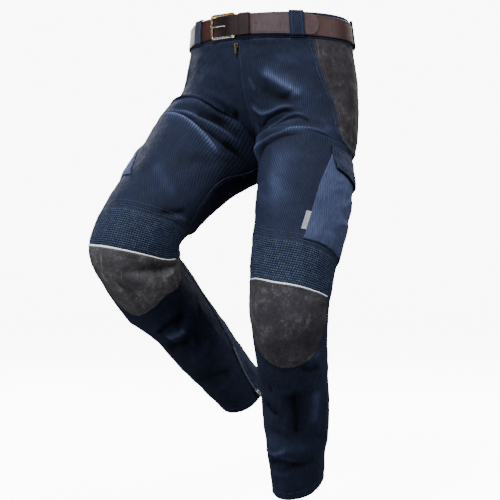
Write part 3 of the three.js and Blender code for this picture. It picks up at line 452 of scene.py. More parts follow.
# Creases that show in front, along paths of (u, v) knots, with their height and half width in mm
TRAILS = {
    "left": table("height width path", [
        (3.6, 11, [(0.09, 0.36), (0.125, 0.42), (0.19, 0.495), (0.265, 0.58)]),
        (-2.2, 9, [(0.09, 0.495), (0.12, 0.545), (0.17, 0.58), (0.225, 0.59)]),
        (2.0, 4, [(0.04, 0.415), (0.055, 0.48), (0.065, 0.52)]),
        (3.5, 6, [(0.01, 0.575), (0.04, 0.61), (0.095, 0.665), (0.15, 0.665),
                  (0.19, 0.64), (0.25, 0.65)]),
        (-3.8, 4, [(0.075, 0.79), (0.115, 0.725), (0.16, 0.695), (0.215, 0.67), (0.25, 0.68)]),
        (3.2, 3.5, [(0.16, 0.9), (0.17, 0.83), (0.195, 0.76), (0.23, 0.71),
                    (0.265, 0.695), (0.3, 0.725)]),
        (-3.0, 3.5, [(0.19, 0.92), (0.2, 0.82), (0.225, 0.75), (0.28, 0.73), (0.335, 0.79)]),
        (4.2, 4.5, [(0.105, 1.17), (0.13, 1.08), (0.24, 1.045), (0.285, 1.005), (0.315, 0.915),
                    (0.355, 0.88), (0.415, 0.895), (0.455, 0.93)]),
        (-4.2, 4, [(0.115, 1.18), (0.185, 1.095), (0.25, 1.065), (0.29, 1.035),
                   (0.335, 1.005), (0.36, 0.99)]),
        (-3.5, 5, [(0.06, 0.7), (0.085, 0.83), (0.11, 0.96)]),
        (1.6, 18, [(0.31, 1.06), (0.265, 1.245), (0.215, 1.555)]),
        (-3.4, 3.5, [(0.12, 2.425), (0.155, 2.46), (0.21, 2.475)]),
        (-2.2, 3.5, [(0.16, 2.285), (0.18, 2.335)]),
        (-4.0, 14, [(0.28, 2.3), (0.3, 2.465), (0.315, 2.63)]),
        (3.0, 12, [(0.385, 2.33), (0.385, 2.55)]),
        (2.5, 4.5, [(0.1, 2.72), (0.175, 2.725), (0.28, 2.67)]),
        (-3.0, 5, [(0.135, 2.81), (0.21, 2.76), (0.37, 2.79)]),
        (-2.6, 5, [(0.31, 2.175), (0.36, 2.205), (0.41, 2.205)]),
        (2.0, 6, [(0.34, 2.15), (0.415, 2.14)]),
    ]),
    "right": table("height width path", [
        (4.5, 4.5, [(0.34, 1.19), (0.245, 1.21), (0.2, 1.22), (0.16, 1.24),
                    (0.105, 1.26), (0.06, 1.275)]),
        (-4.8, 4, [(0.32, 1.185), (0.225, 1.195), (0.175, 1.203), (0.13, 1.19),
                   (0.08, 1.17), (0.035, 1.135)]),
        (3.6, 5, [(0.32, 1.16), (0.255, 1.17), (0.21, 1.165), (0.155, 1.145),
                  (0.12, 1.12), (0.05, 1.09)]),
        (-3.6, 5, [(0.21, 1.145), (0.175, 1.125), (0.14, 1.09), (0.12, 1.08)]),
        (-3.4, 5, [(0.045, 0.615), (0.075, 0.735), (0.105, 0.9)]),
        (-2.8, 3, [(0.11, 1.165), (0.05, 1.148), (0.02, 1.14)]),
        (-3.0, 4, [(0.165, 1.785), (0.095, 1.72), (0.045, 1.655)]),
        (2.4, 5, [(0.105, 1.75), (0.02, 1.69)]),
        (-3.4, 6, [(0.315, 2.03), (0.265, 2.04), (0.195, 2.04), (0.125, 2.05), (0.045, 2.09)]),
        (1.6, 7, [(0.3, 2.055), (0.25, 2.062), (0.185, 2.068), (0.095, 2.085)]),
        (-2.6, 4, [(0.325, 2.06), (0.31, 2.085), (0.28, 2.095)]),
        (3.4, 6, [(0.31, 2.36), (0.255, 2.365), (0.19, 2.375)]),
        (-3.4, 7, [(0.335, 2.32), (0.215, 2.29), (0.15, 2.32)]),
        (-3.2, 8, [(0.355, 2.465), (0.27, 2.44), (0.2, 2.465)]),
        (-2.4, 8, [(0.31, 2.715), (0.155, 2.71), (0.07, 2.765)]),
    ]),
}
TRAIL_POINTS = 30
TRAIL_GAIN = 1.3


def trail_height(trails, u, v):
    """Height of ridges and troughs along curved paths, faded at their ends."""
    total = np.zeros_like(u)
    x, y = u * GIRTH, v * LEG_STEP
    for trail in trails:
        path = resample(trail["path"], np.linspace(0, 1, TRAIL_POINTS)) * (GIRTH, LEG_STEP)
        reach = 3 * trail["width"]
        near = (x > path[:, 0].min() - reach) & (x < path[:, 0].max() + reach)
        near &= (y > path[:, 1].min() - reach) & (y < path[:, 1].max() + reach)
        if not near.any():
            continue
        start, step = path[:-1], np.diff(path, axis=0)
        from_start = np.stack([x[near], y[near]], axis=-1)[:, None] - start
        s = np.clip((from_start * step).sum(-1) / (step * step).sum(-1), 0, 1)
        gap = np.linalg.norm(from_start - s[..., None] * step, axis=-1)
        best = gap.argmin(axis=1)
        rows = np.arange(len(best))
        share = (best + s[rows, best]) / len(step)
        bend = 2 if trail["height"] > 0 else 1.4
        height = TRAIL_GAIN * trail["height"] * np.exp(-((gap[rows, best] / trail["width"]) ** bend))
        total[near] += height * ease(share * 5) * ease((1 - share) * 5)
    return total


# Low waves of the cloth: wavelength in mm, direction in degrees, height in mm and phase
WAVES = table("length turn height phase", [
    (83, 20, 0.45, 0.4),
    (61, 105, 0.40, 2.1),
    (47, 63, 0.30, 4.0),
    (39, 150, 0.28, 1.2),
    (29, 85, 0.20, 5.1),
    (23, 12, 0.16, 3.3),
    (17, 128, 0.12, 0.9),
])


def undulation(x, y, seed=1):
    total = 0
    for wave in WAVES:
        turn = math.radians(wave["turn"] * (1 + 0.07 * seed))
        along = x * math.cos(turn) + y * math.sin(turn)
        bent = along + 9 * np.sin((x * math.sin(turn) - y * math.cos(turn)) / 41 + seed)
        angle = 2 * math.pi * bent / wave["length"] + wave["phase"] + 2 * seed
        total = total + wave["height"] * np.sin(angle)
    return total


HALVES = [Half(leg) for leg in LEGS]


# Cut lines and strips
def side_line(name, v):
    below = curve(OUTSEAM, "v", "u", np.maximum(v, HIP_END))
    above = curve(SIDES, "v", name, np.clip(v, WAIST_SEAM, HIP_TIP))
    tip = curve(SIDES, "v", name, np.full_like(v, HIP_TIP))
    near = tip + (OUTSEAM[0]["u"] - tip) * np.clip((v - HIP_TIP) / (HIP_END - HIP_TIP), 0, 1)
    return np.where(v >= HIP_END, below, np.where(v > HIP_TIP, near, above))


STRIPS = {
    "front": lambda s, v: s * side_line("front", v),
    "hip": lambda s, v: lerp(side_line("front", v), side_line("back", v), s),
    "back": lambda s, v: lerp(side_line("back", v), 1, s),
}


LEVEL_CUTS = {"waist_seam": WAIST_SEAM, "hip_tip": HIP_TIP, "hem": HEM}
STRETCH_CUTS = {"stretch_top": "top", "stretch_foot": "foot"}


def cut_line(leg, name, u):
    """Value of v on a cut line across the leg, at each u."""
    if name in LEVEL_CUTS:
        return np.full_like(u, LEVEL_CUTS[name])
    return curve(leg["cuts"], "u", STRETCH_CUTS[name], u)


def spread(length, cell, edge=(0.9, 2.2, 4.2)):
    """Shares of a length of cloth, one cell apart, closer at both ends where the seams are."""
    count = max(2, round((length - 2 * edge[-1]) / cell))
    middle = np.linspace(edge[-1], length - edge[-1], count + 1)
    near = np.array((0,) + edge[:-1])
    return np.concatenate([near, middle, length - near[::-1]]) / length


def strip_grid(leg, strip, top, foot, width, length, cell):
    """Grid of u and v over a strip between two cut lines, width and length in mm."""
    across, down = np.meshgrid(spread(width, cell), spread(length, cell))
    u = np.full_like(down, 0.5)
    v = lerp(cut_line(leg, top, u), cut_line(leg, foot, u), down)
    for _ in range(6):
        u = STRIPS[strip](across, v)
        v = lerp(cut_line(leg, top, u), cut_line(leg, foot, u), down)
    return STRIPS[strip](across, v), v


# Sheets of cloth: grids of points with two skins
def arcs(points, axis):
    """Length in mm along the rows (axis 1) or down the columns (axis 0) of a grid of points."""
    step = np.linalg.norm(np.diff(points, axis=axis), axis=-1)
    start = np.zeros_like(np.take(step, [0], axis))
    return np.concatenate([start, np.cumsum(step, axis)], axis)


def path_length(path):
    """Length in mm from the start of a path to each of its points."""
    return np.concatenate([[0], np.cumsum(np.linalg.norm(np.diff(path, axis=0), axis=1))])


def grid_area(points):
    diagonal, other = points[1:, 1:] - points[:-1, :-1], points[1:, :-1] - points[:-1, 1:]
    return float(np.linalg.norm(np.cross(diagonal, other), axis=-1).sum() / 2)


def grid_normals(points, side):
    across = np.gradient(points, axis=1)
    down = np.gradient(points, axis=0)
    return unit(np.cross(down, across)) * side


class Sheet:
    """A grid of (u, v) on a half, its outer and inner skins, and the lengths along it."""

    def __init__(self, half, u, v, thick, rise=0.0, relief=None, fine=True):
        self.half, self.u, self.v = half, u, v
        bare = half.place(u, v)
        self.across, self.down = arcs(bare, 1), arcs(bare, 0)
        self.width, self.length = self.across[:, -1:], self.down[-1:, :]
        self.relief = relief(self) if relief else np.zeros_like(u)
        out = rise + self.relief
        self.outer = half.place(u, v, out, fine)
        self.inner = half.place(u, v, np.minimum(out, rise) - thick, fine)
        self.normals = grid_normals(self.outer, half.side)

    def edge_gap(self, edge):
        """Distance in mm from an edge of the sheet, at every point of its grid."""
        return {
            "front": self.across,
            "back": self.width - self.across,
            "top": self.down,
            "foot": self.length - self.down,
        }[edge]

    def line(self, edge, gap, start=0.0, end=1.0):
        """Points and normals of a line along an edge, gap mm in from it."""
        upright = edge in ("front", "back")
        gaps = self.edge_gap(edge) if upright else self.edge_gap(edge).T
        points = self.outer if upright else self.outer.swapaxes(0, 1)
        normals = self.normals if upright else self.normals.swapaxes(0, 1)
        if edge in ("back", "foot"):
            gaps, points, normals = gaps[:, ::-1], points[:, ::-1], normals[:, ::-1]
        last = len(gaps) - 1
        rows = range(round(start * last), round(end * last) + 1)
        track = [[np.interp(gap, gaps[i], values[i, :, k]) for k in range(3)] for i in rows
                 for values in (points, normals)]
        track = np.array(track).reshape(-1, 2, 3)
        return track[:, 0], unit(track[:, 1])


LAP_DEEP = 8.5


def lapped(*edges, high=0.9, pucker=0.28):
    """Relief of a panel whose named edges lie folded over the next panel, puckered by the sewing."""
    def relief(sheet):
        total = np.zeros_like(sheet.u)
        for edge in edges:
            gap = sheet.edge_gap(edge)
            along = sheet.down if edge in ("front", "back") else sheet.across
            total += high * (1 - ease((gap - LAP_DEEP) / 2.6)) * ease((gap + 0.3) / 1.4)
            wave = np.sin(along / 1.9 + 1.6 * np.sin(along / 13)) * (0.6 + 0.4 * np.sin(along / 29 + 1))
            total += pucker * wave * np.exp(-(((gap - 5) / 7) ** 2)) * ease(gap / 2)
        for edge in {"front", "back", "top", "foot"} - set(edges):
            total -= 0.7 * np.exp(-((sheet.edge_gap(edge) / 1.6) ** 2))
        return total
    return relief


def ribbed(sheet):
    """Relief of the ribbed stretch cloth: one rib after another down the sheet, flat at its ends."""
    share = (sheet.down - RIB_BAND) / (sheet.length - RIB_BAND) * RIB_COUNT
    rib = (0.5 - 0.5 * np.cos(2 * math.pi * share)) ** 0.7
    puff = 1.2 * hump(sheet.down / sheet.length) ** 0.5
    ends = ease((sheet.down - RIB_BAND) / 3) * ease(sheet.edge_gap("foot") / 3)
    band = 0.5 * (1 - ease((sheet.down - RIB_BAND) / 1.5))
    return RIB_HEIGHT * rib * ends + puff + band - 0.8


# Meshes
def make_mesh(name, points, faces, uvs, materials, picks=None, wear_and_shade=None):
    """Blender object from points in mm, with one corner UV for each vertex of each face."""
    mesh = bpy.data.meshes.new(name)
    mesh.from_pydata((np.asarray(points) * MM).tolist(), [], [list(face) for face in faces])
    layer = mesh.uv_layers.new(name="cloth")
    corners = np.empty(len(mesh.loops), int)
    mesh.loops.foreach_get("vertex_index", corners)
    layer.data.foreach_set("uv", (np.asarray(uvs)[corners] * MM).ravel().astype(np.float32))
    for material in materials:
        mesh.materials.append(material)
    if picks is not None:
        mesh.polygons.foreach_set("material_index", np.asarray(picks, np.int32))
    mesh.polygons.foreach_set("use_smooth", np.full(len(mesh.polygons), True))
    # Per-point mark: painted highlight and painted shade along creases, and the belt's paler and darker
    # stretches
    values = np.zeros(len(points)) if wear_and_shade is None else wear_and_shade
    attribute = mesh.attributes.new("wear_and_shade", "FLOAT", "POINT")
    attribute.data.foreach_set("value", np.asarray(values, np.float32))
    mesh.validate()
    mesh.update()
    piece = bpy.data.objects.new(name, mesh)
    bpy.context.scene.collection.objects.link(piece)
    return piece


def grid_faces(rows, columns, offset=0, flip=False, closed=False):
    """Quads of a grid of vertices; closed joins the last column to the first."""
    steps = columns if closed else columns - 1
    i, j = np.meshgrid(np.arange(rows - 1), np.arange(steps), indexing="ij")
    after = (j + 1) % columns
    a, b = i * columns + j, (i + 1) * columns + j
    c, d = (i + 1) * columns + after, i * columns + after
    quads = np.stack([a, b, c, d] if not flip else [d, c, b, a], axis=-1).reshape(-1, 4)
    return quads + offset


def shell_faces(rows, columns, side):
    """Faces of a closed wall between an outer grid and an inner grid of the same size."""
    count = rows * columns
    flip = side < 0
    outer = grid_faces(rows, columns, 0, flip)
    inner = grid_faces(rows, columns, count, not flip)
    index = np.arange(count).reshape(rows, columns)
    ring = np.concatenate([index[0], index[1:, -1], index[-1, -2::-1], index[-2:0:-1, 0]])
    after = np.roll(ring, -1)
    rim = np.stack([ring, after, after + count, ring + count], axis=-1)
    return np.concatenate([outer, inner, rim[:, ::-1] if flip else rim])


# Creases narrower than SHARP_FOLD, and the broad folds at a smaller share, are painted pale on top as
# painted highlight with rubbed wear, and dark below as painted shade, fully so at the crease height given
# below
SHARP_FOLD = 25
WEAR_AND_SHADE_HEIGHT = 6


def add_sheet(name, sheet, materials, picks=None, uv=None):
    """Closed shell of a sheet; picks gives a material number for each quad of its grid."""
    rows, columns = sheet.u.shape
    faces = shell_faces(rows, columns, sheet.half.side)
    points = np.concatenate([sheet.outer.reshape(-1, 3), sheet.inner.reshape(-1, 3)])
    flat = np.stack([sheet.across, sheet.down], axis=-1) if uv is None else uv
    uvs = np.tile(flat.reshape(-1, 2), (2, 1))
    leg = sheet.half.leg
    sharp = [fold for fold in leg["creases"] if fold["width"] < SHARP_FOLD]
    ridge = fold_height(sharp, sheet.u, sheet.v) + trail_height(TRAILS[leg["name"]], sheet.u, sheet.v)
    ridge = ridge + 0.4 * fold_height(leg["folds"], sheet.u, sheet.v)
    # Painted highlight and painted shade: the clipped crease height makes the cloth paler on ridges and
    # darker in troughs
    wear_and_shade = np.tile(np.clip(ridge / WEAR_AND_SHADE_HEIGHT, -1, 1).ravel(), 2)
    if picks is not None:
        flags = picks.reshape(-1)
        picks = np.concatenate([flags, flags, np.zeros(len(faces) - 2 * len(flags), int)])
    return make_mesh(name, points, faces, uvs, materials, picks, wear_and_shade)


def tube_faces(rings, sides, closed=False):
    """Faces of a tube of rings, closed into a loop or with a cap on each end."""
    faces = grid_faces(rings, sides, closed=True).tolist()
    last = (rings - 1) * sides
    if closed:
        around = [(k, (k + 1) % sides) for k in range(sides)]
        return faces + [[last + k, k, after, last + after] for k, after in around]
    return faces + [list(range(sides)), list(range(last + sides - 1, last - 1, -1))]


def add_tube(name, path, radius, material, sides, normals):
    """Round bar along a path of points in mm, with one radius for each point."""
    tangents = unit(np.gradient(path, axis=0))
    beside = unit(np.cross(tangents, normals))
    up = np.cross(beside, tangents)
    turn = np.linspace(0, 2 * math.pi, sides, endpoint=False)
    ring = np.cos(turn)[None, :, None] * beside[:, None]
    ring = ring + np.sin(turn)[None, :, None] * up[:, None]
    points = path[:, None] + ring * radius[:, None, None]
    length = path_length(path)
    uvs = np.stack(np.broadcast_arrays(turn[None, :] * np.mean(radius), length[:, None]), axis=-1)
    faces = tube_faces(len(path), sides)
    return make_mesh(name, points.reshape(-1, 3), faces, uvs.reshape(-1, 2), [material])


# Sewing: each stitch is a small raised thread, all those of a piece in one mesh
STITCH_LONG = 2.7
STITCH_PITCH = 3.6
STITCH_WIDE = 0.75
STITCH_HIGH = 0.34
SECTION = [(-0.5, -0.25), (-0.3, 0.75), (0.3, 0.75), (0.5, -0.25)]
STITCH_POINTS = 4 * len(SECTION)


class Sewing:
    """Collects rows of stitches and makes them one piece."""

    def __init__(self):
        self.points, self.faces, self.count = [], [], 0

    def row(self, path, normals, pitch=STITCH_PITCH, long=STITCH_LONG, wide=STITCH_WIDE):
        length = path_length(path)
        starts = np.arange(pitch / 2, length[-1] - long, pitch)
        if len(starts) == 0:
            return
        stations = starts[:, None] + np.array([0, 0.18, 0.82, 1]) * long
        at = np.stack([np.interp(stations, length, path[:, k]) for k in range(3)], axis=-1)
        up = unit(np.stack([np.interp(stations, length, normals[:, k]) for k in range(3)], axis=-1))
        along = unit(at[:, -1] - at[:, 0])[:, None]
        beside = unit(np.cross(up, along))
        share = np.array([0.35, 1, 1, 0.35])
        bits = []
        for across, high in SECTION:
            side = beside * (across * wide * share[:, None])
            bits.append(at + side + up * (high * STITCH_HIGH * share[:, None]))
        points = np.stack(bits, axis=2).reshape(len(starts), STITCH_POINTS, 3)
        faces = [[a + k, a + k + 1, a + k + 5, a + k + 4] for a in (0, 4, 8) for k in range(3)]
        faces += [[0, 4, 7, 3], [4, 8, 11, 7], [8, 12, 15, 11], [3, 2, 1, 0], [12, 13, 14, 15]]
        self.points.append(points.reshape(-1, 3))
        offset = self.count + np.arange(len(starts)) * STITCH_POINTS
        self.faces += [[int(o + f) for f in face] for o in offset for face in faces]
        self.count += len(starts) * STITCH_POINTS

    def rows(self, sheet, edge, gaps=(2.0, 7.2), start=0.0):
        """Rows along an edge of a sheet, one at each of the gaps in mm from it."""
        for gap in gaps:
            self.row(*sheet.line(edge, gap, start))

    def finish(self, name, material):
        points = np.concatenate(self.points)
        piece = make_mesh(name, points, self.faces, points[:, :2], [material])
        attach(piece, BODY)
        return piece


# Materials
def srgb(red, green, blue):
    """Linear colour of an 8-bit screen colour."""
    scaled = [value / 255 for value in (red, green, blue)]
    linear = [c / 12.92 if c <= 0.04045 else ((c + 0.055) / 1.055) ** 2.4 for c in scaled]
    return (*linear, 1.0)


class Graph:
    """A material's node tree, with short ways to add what this scene needs."""

    def __init__(self, name, roughness, metallic=0.0, specular=0.5):
        self.material = bpy.data.materials.new(name)
        self.material.use_nodes = True
        self.tree = self.material.node_tree
        self.shader = self.tree.nodes["Principled BSDF"]
        self.fix({"Roughness": roughness, "Metallic": metallic, "Specular IOR Level": specular})

    def fix(self, values):
        for name, value in values.items():
            self.shader.inputs[name].default_value = value

    def sheen(self, weight, roughness, tint):
        self.fix({"Sheen Weight": weight, "Sheen Roughness": roughness, "Sheen Tint": tint})

    def add(self, kind, inputs, **settings):
        node = self.tree.nodes.new("ShaderNode" + kind)
        for name, value in settings.items():
            setattr(node, name, value)
        for name, value in inputs.items():
            if isinstance(value, bpy.types.NodeSocket):
                self.tree.links.new(value, node.inputs[name])
            else:
                node.inputs[name].default_value = value
        return node

    def cloth(self, x=1.0, y=1.0, turn=0.0):
        """Cloth coordinates in metres, scaled along and across the grain."""
        uv = self.add("UVMap", {}, uv_map="cloth").outputs["UV"]
        mapping = {"Vector": uv, "Scale": (x, y, 1.0), "Rotation": (0.0, 0.0, turn)}
        return self.add("Mapping", mapping).outputs["Vector"]

    def place(self):
        return self.add("TexCoord", {}).outputs["Object"]

    def noise(self, vector, scale=1.0, detail=2.0, rough=0.5, distort=0.0):
        inputs = {"Vector": vector, "Scale": scale, "Detail": detail, "Roughness": rough}
        return self.add("TexNoise", inputs | {"Distortion": distort}).outputs["Fac"]

    def bands(self, vector, scale, direction="X", distort=0.0, detail=0.0, fine=1.0):
        inputs = {"Vector": vector, "Scale": scale, "Distortion": distort, "Detail": detail}
        node = self.add("TexWave", inputs | {"Detail Scale": fine}, bands_direction=direction)
        return node.outputs["Fac"]

    def cells(self, vector, scale):
        return self.add("TexVoronoi", {"Vector": vector, "Scale": scale}).outputs["Distance"]

    def maths(self, operation, a, b=0.0, c=0.0):
        node = self.add("Math", {}, operation=operation)
        for socket, value in zip(node.inputs, (a, b, c)):
            if isinstance(value, bpy.types.NodeSocket):
                self.tree.links.new(value, socket)
            else:
                socket.default_value = value
        return node.outputs["Value"]

    def mix(self, kind, share, first, second):
        """Blend of two colours by a share between 0 and 1; the sockets are those of colour mode."""
        factor, a, b = 0, 6, 7
        node = self.add("Mix", {factor: share, a: first, b: second}, data_type="RGBA", blend_type=kind)
        return node.outputs[2]

    def blend(self, base, *parts):
        """base plus the sum of (socket - 0.5) * weight."""
        total = base
        for socket, weight in parts:
            total = self.maths("ADD", self.maths("MULTIPLY_ADD", socket, weight, -weight / 2), total)
        return total

    # Per-point mark of the mesh: painted highlight and painted shade along creases, and the belt's paler
    # and darker stretches
    def wear_and_shade(self):
        return self.add("Attribute", {}, attribute_name="wear_and_shade").outputs["Fac"]

    def ramp(self, value, *stops):
        node = self.add("ValToRGB", {"Fac": value})
        ramp = node.color_ramp
        while len(ramp.elements) < len(stops):
            ramp.elements.new(0.5)
        for element, (position, colour) in zip(ramp.elements, stops):
            element.position = position
            element.color = colour
        return node.outputs["Color"]

    def colour(self, socket):
        self.tree.links.new(socket, self.shader.inputs["Base Color"])

    def rough(self, socket):
        self.tree.links.new(socket, self.shader.inputs["Roughness"])

    def bump(self, *layers):
        """Layers of (height, distance in mm), the coarse one first."""
        normal = None
        for height, distance in layers:
            inputs = {"Height": height, "Distance": distance * MM, "Strength": 1.0}
            if normal is not None:
                inputs["Normal"] = normal
            normal = self.add("Bump", inputs).outputs["Normal"]
        self.tree.links.new(normal, self.shader.inputs["Normal"])
        return self.material


# The twill's cords: one about every 4 mm, nearly along the leg
CORD_SCALE = 0.314 / 0.004
TWILL_SLANT = 0.22


def twill_material(name, light=1.0, ribs=1.0):
    g = Graph(name, roughness=0.8, specular=0.07)
    streak = g.noise(g.cloth(800, 60), detail=3, rough=0.6)
    slub = g.noise(g.cloth(260, 30), detail=2)
    cord = g.bands(g.cloth(turn=TWILL_SLANT), CORD_SCALE, "X", distort=0.5, detail=1, fine=2)
    weave = g.bands(g.cloth(), 560, "DIAGONAL", distort=0.4, detail=1)
    cloud = g.noise(g.place(), 11, detail=3)
    parts = [(streak, 0.26), (slub, 0.12), (cord, 0.19 * ribs), (weave, 0.10), (cloud, 0.26)]
    tone = g.blend(0.42 * light, *parts)
    # Painted highlight on crease tops, with rubbed wear, and painted shade in crease troughs
    tone = g.maths("MULTIPLY_ADD", g.wear_and_shade(), 0.40, tone)
    g.colour(g.ramp(
        tone,
        (0.0, srgb(4, 5, 10)),
        (0.40, srgb(22, 27, 42)),
        (0.70, srgb(43, 51, 76)),
        (1.0, srgb(88, 97, 130)),
    ))
    g.rough(g.blend(0.76, (streak, 0.16), (cloud, 0.1)))
    g.sheen(0.02, 0.45, srgb(110, 130, 205))
    crumple = g.noise(g.place(), 42, detail=4, rough=0.55, distort=0.3)
    rumple = g.noise(g.cloth(90, 60), detail=3)
    return g.bump((crumple, 2.4), (rumple, 0.9), (cord, 0.34 * ribs), (streak, 0.16), (weave, 0.12))


def stretch_material():
    g = Graph("ribbed_stretch", roughness=0.82, specular=0.08)
    brick = g.add("TexBrick", {
        "Vector": g.cloth(),
        "Color1": srgb(44, 53, 73),
        "Color2": srgb(59, 70, 95),
        "Mortar": srgb(16, 21, 32),
        "Scale": 1.0,
        "Mortar Size": 0.0009,
        "Mortar Smooth": 0.6,
        "Brick Width": 0.0046,
        "Row Height": ROW_HEIGHT * MM,
    })
    cloud = g.noise(g.place(), 16, detail=2)
    shade = g.ramp(g.blend(0.5, (cloud, 0.5)), (0.0, (0.55, 0.55, 0.6, 1)), (1.0, (1.25, 1.25, 1.2, 1)))
    g.colour(g.mix("MULTIPLY", 1.0, brick.outputs["Color"], shade))
    g.sheen(0.02, 0.5, srgb(110, 140, 210))
    threads = g.bands(g.cloth(), 420, "X", distort=0.3)
    return g.bump((g.maths("SUBTRACT", 1.0, brick.outputs["Fac"]), 0.7), (threads, 0.12))


def suede_material(name, dark, middle, light, scuffed):
    g = Graph(name, roughness=0.92, specular=0.06)
    blotch = g.noise(g.place(), 24, detail=4, rough=0.62, distort=0.5)
    patch = g.noise(g.place(), 75, detail=3, rough=0.6, distort=0.4)
    speck = g.noise(g.place(), 300, detail=3, rough=0.7)
    nap = g.noise(g.cloth(900, 900), detail=2)
    scratch = g.noise(g.cloth(330, 14, turn=0.75), distort=0.25)
    other = g.noise(g.cloth(280, 12, turn=-0.85), distort=0.35)
    lines = g.maths("MAXIMUM", scratch, other)
    marks = g.ramp(lines, (0.0, (0, 0, 0, 1)), (0.69, (0, 0, 0, 1)), (0.76, (1, 1, 1, 1)))
    tone = g.blend(0.46, (blotch, 0.62), (patch, 0.40), (speck, 0.34), (nap, 0.20))
    # Painted highlight on crease tops, with rubbed wear, and painted shade in crease troughs
    tone = g.maths("MULTIPLY_ADD", g.wear_and_shade(), 0.26, tone)
    tone = g.maths("MULTIPLY_ADD", marks, scuffed, tone)
    g.colour(g.ramp(tone, (0.12, dark), (0.5, middle), (0.95, light)))
    g.rough(g.blend(0.90, (blotch, -0.16)))
    g.sheen(0.03, 0.6, srgb(205, 200, 200))
    return g.bump((blotch, 1.6), (patch, 0.8), (speck, 0.35), (nap, 0.15))


def leather_material():
    """Belt leather: paler and greyer where its mark is above 0, dark and reddish where it is below."""
    g = Graph("belt_leather", roughness=0.5, specular=0.22)
    grain = g.cells(g.cloth(), 1100)
    across = g.noise(g.cloth(60, 420), detail=3)
    patches = g.noise(g.place(), 17, detail=2)
    wear_and_shade = g.wear_and_shade()
    tone = g.blend(0.36, (patches, 0.62), (across, 0.50), (grain, 0.10))
    tone = g.maths("MULTIPLY_ADD", g.maths("MINIMUM", wear_and_shade, 0.0), 0.30, tone)
    brown = g.ramp(
        tone,
        (0.10, srgb(20, 7, 9)),
        (0.45, srgb(52, 25, 25)),
        (0.70, srgb(80, 45, 44)),
        (0.95, srgb(110, 74, 71)),
    )
    grey = g.ramp(tone, (0.10, srgb(34, 25, 28)), (0.50, srgb(72, 59, 63)), (0.95, srgb(124, 107, 109)))
    g.colour(g.mix("MIX", wear_and_shade, brown, grey))
    g.rough(g.blend(0.50, (patches, 0.25), (across, 0.16)))
    return g.bump((across, 0.30), (grain, 0.20))


def metal_material(name, shade, tarnish, roughness):
    g = Graph(name, roughness=roughness, metallic=1.0)
    cloud = g.noise(g.place(), 160, detail=3)
    scratch = g.noise(g.place(), 900, detail=1, distort=2.0)
    g.colour(g.ramp(g.blend(0.6, (cloud, 0.7), (scratch, 0.2)), (0.1, tarnish), (0.6, shade)))
    g.rough(g.blend(roughness, (cloud, 0.25), (scratch, 0.12)))
    return g.bump((scratch, 0.05))


def plain_material(name, dark, light, roughness, scale, height):
    """Small fittings and threads: two shades over a fine grain."""
    g = Graph(name, roughness=roughness, specular=0.4)
    grain = g.noise(g.place(), scale, detail=2)
    twist = g.bands(g.place(), scale * 0.6, "DIAGONAL", distort=1.0)
    cloud = g.noise(g.place(), 30, detail=2)
    g.colour(g.ramp(g.blend(0.5, (grain, 0.5), (twist, 0.4), (cloud, 0.5)), (0.1, dark), (0.9, light)))
    return g.bump((twist, height), (grain, height / 2))


TWILL = twill_material("navy_twill")
# The pocket's twill is a lighter copy of the navy twill, standing for the stronger light on the pocket's
# side face: painted light
POCKET_TWILL = twill_material("pocket_twill_painted_light", 1.74, 0.4)
STRETCH = stretch_material()
HIP_SUEDE = suede_material("hip_suede", srgb(18, 16, 18), srgb(43, 41, 45), srgb(100, 94, 96), 0.22)
# The right knee's suede is a lighter copy of the left's, standing for light on its down-facing patch:
# painted light; the left's tones are the suede's own
KNEE_TONES = {
    "left": (srgb(14, 14, 17), srgb(45, 45, 50), srgb(108, 104, 105), 0.24),
    "right": (srgb(20, 20, 23), srgb(66, 65, 69), srgb(146, 142, 140), 0.40),
}
KNEE_SUEDE = {side: suede_material(f"knee_suede_{side}", *tones) for side, tones in KNEE_TONES.items()}
LEATHER = leather_material()
BRASS = metal_material("brass", srgb(205, 165, 92), srgb(120, 88, 44), 0.26)
DARK_BRASS = metal_material("dark_brass", srgb(96, 84, 62), srgb(34, 30, 26), 0.34)
STEEL = metal_material("steel", srgb(206, 208, 212), srgb(120, 122, 128), 0.26)
WHITE = plain_material("reflective_piping", srgb(176, 180, 186), srgb(240, 242, 245), 0.5, 500, 0.15)
SATIN = plain_material("label_satin", srgb(92, 96, 104), srgb(158, 162, 170), 0.6, 900, 0.12)
THREAD = plain_material("navy_thread", srgb(23, 29, 45), srgb(66, 76, 103), 0.8, 900, 0.08)
DARK_THREAD = plain_material("dark_thread", srgb(10, 12, 18), srgb(30, 33, 43), 0.8, 900, 0.08)
TEETH = plain_material("zip_teeth", srgb(24, 26, 30), srgb(72, 76, 84), 0.4, 700, 0.06)
# The punched hole's near-black colour stands for the shade inside the hole: painted shade
HOLE_SHADE = plain_material("punched_hole", srgb(8, 6, 6), srgb(22, 16, 14), 0.9, 900, 0.1)


# Pieces of cloth
LEAST_FLAT = 0.01


def declare(piece, node, sheet=None, grid=None):
    """Attach a new piece to the body and hide the node it stands for.

    Its flat cut, width, length and area, is measured on the outer face, of a Sheet or of a grid of points,
    and not passed on.
    """
    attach(piece, BODY)
    if node:
        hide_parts(node)
    if sheet is not None:
        grid = sheet.outer
    if grid is not None:
        wide, long = (max(float(arcs(grid, axis).max()) * MM, LEAST_FLAT) for axis in (1, 0))
        area = min(max(grid_area(grid) * MM ** 2, 0.32 * wide * long), wide * long)


def add_cloth(title, kind, sheet, material):
    """Piece of one sheet in one material, in place of the node with that title."""
    declare(add_sheet(f"{title}_{kind}", sheet, [material]), title, sheet)


# Size of the panels' cells, and the distance of the hem's sewing from the hem
CELL = 2.6
BACK_CELL = 3.3
HEM_SEWING = 15.0


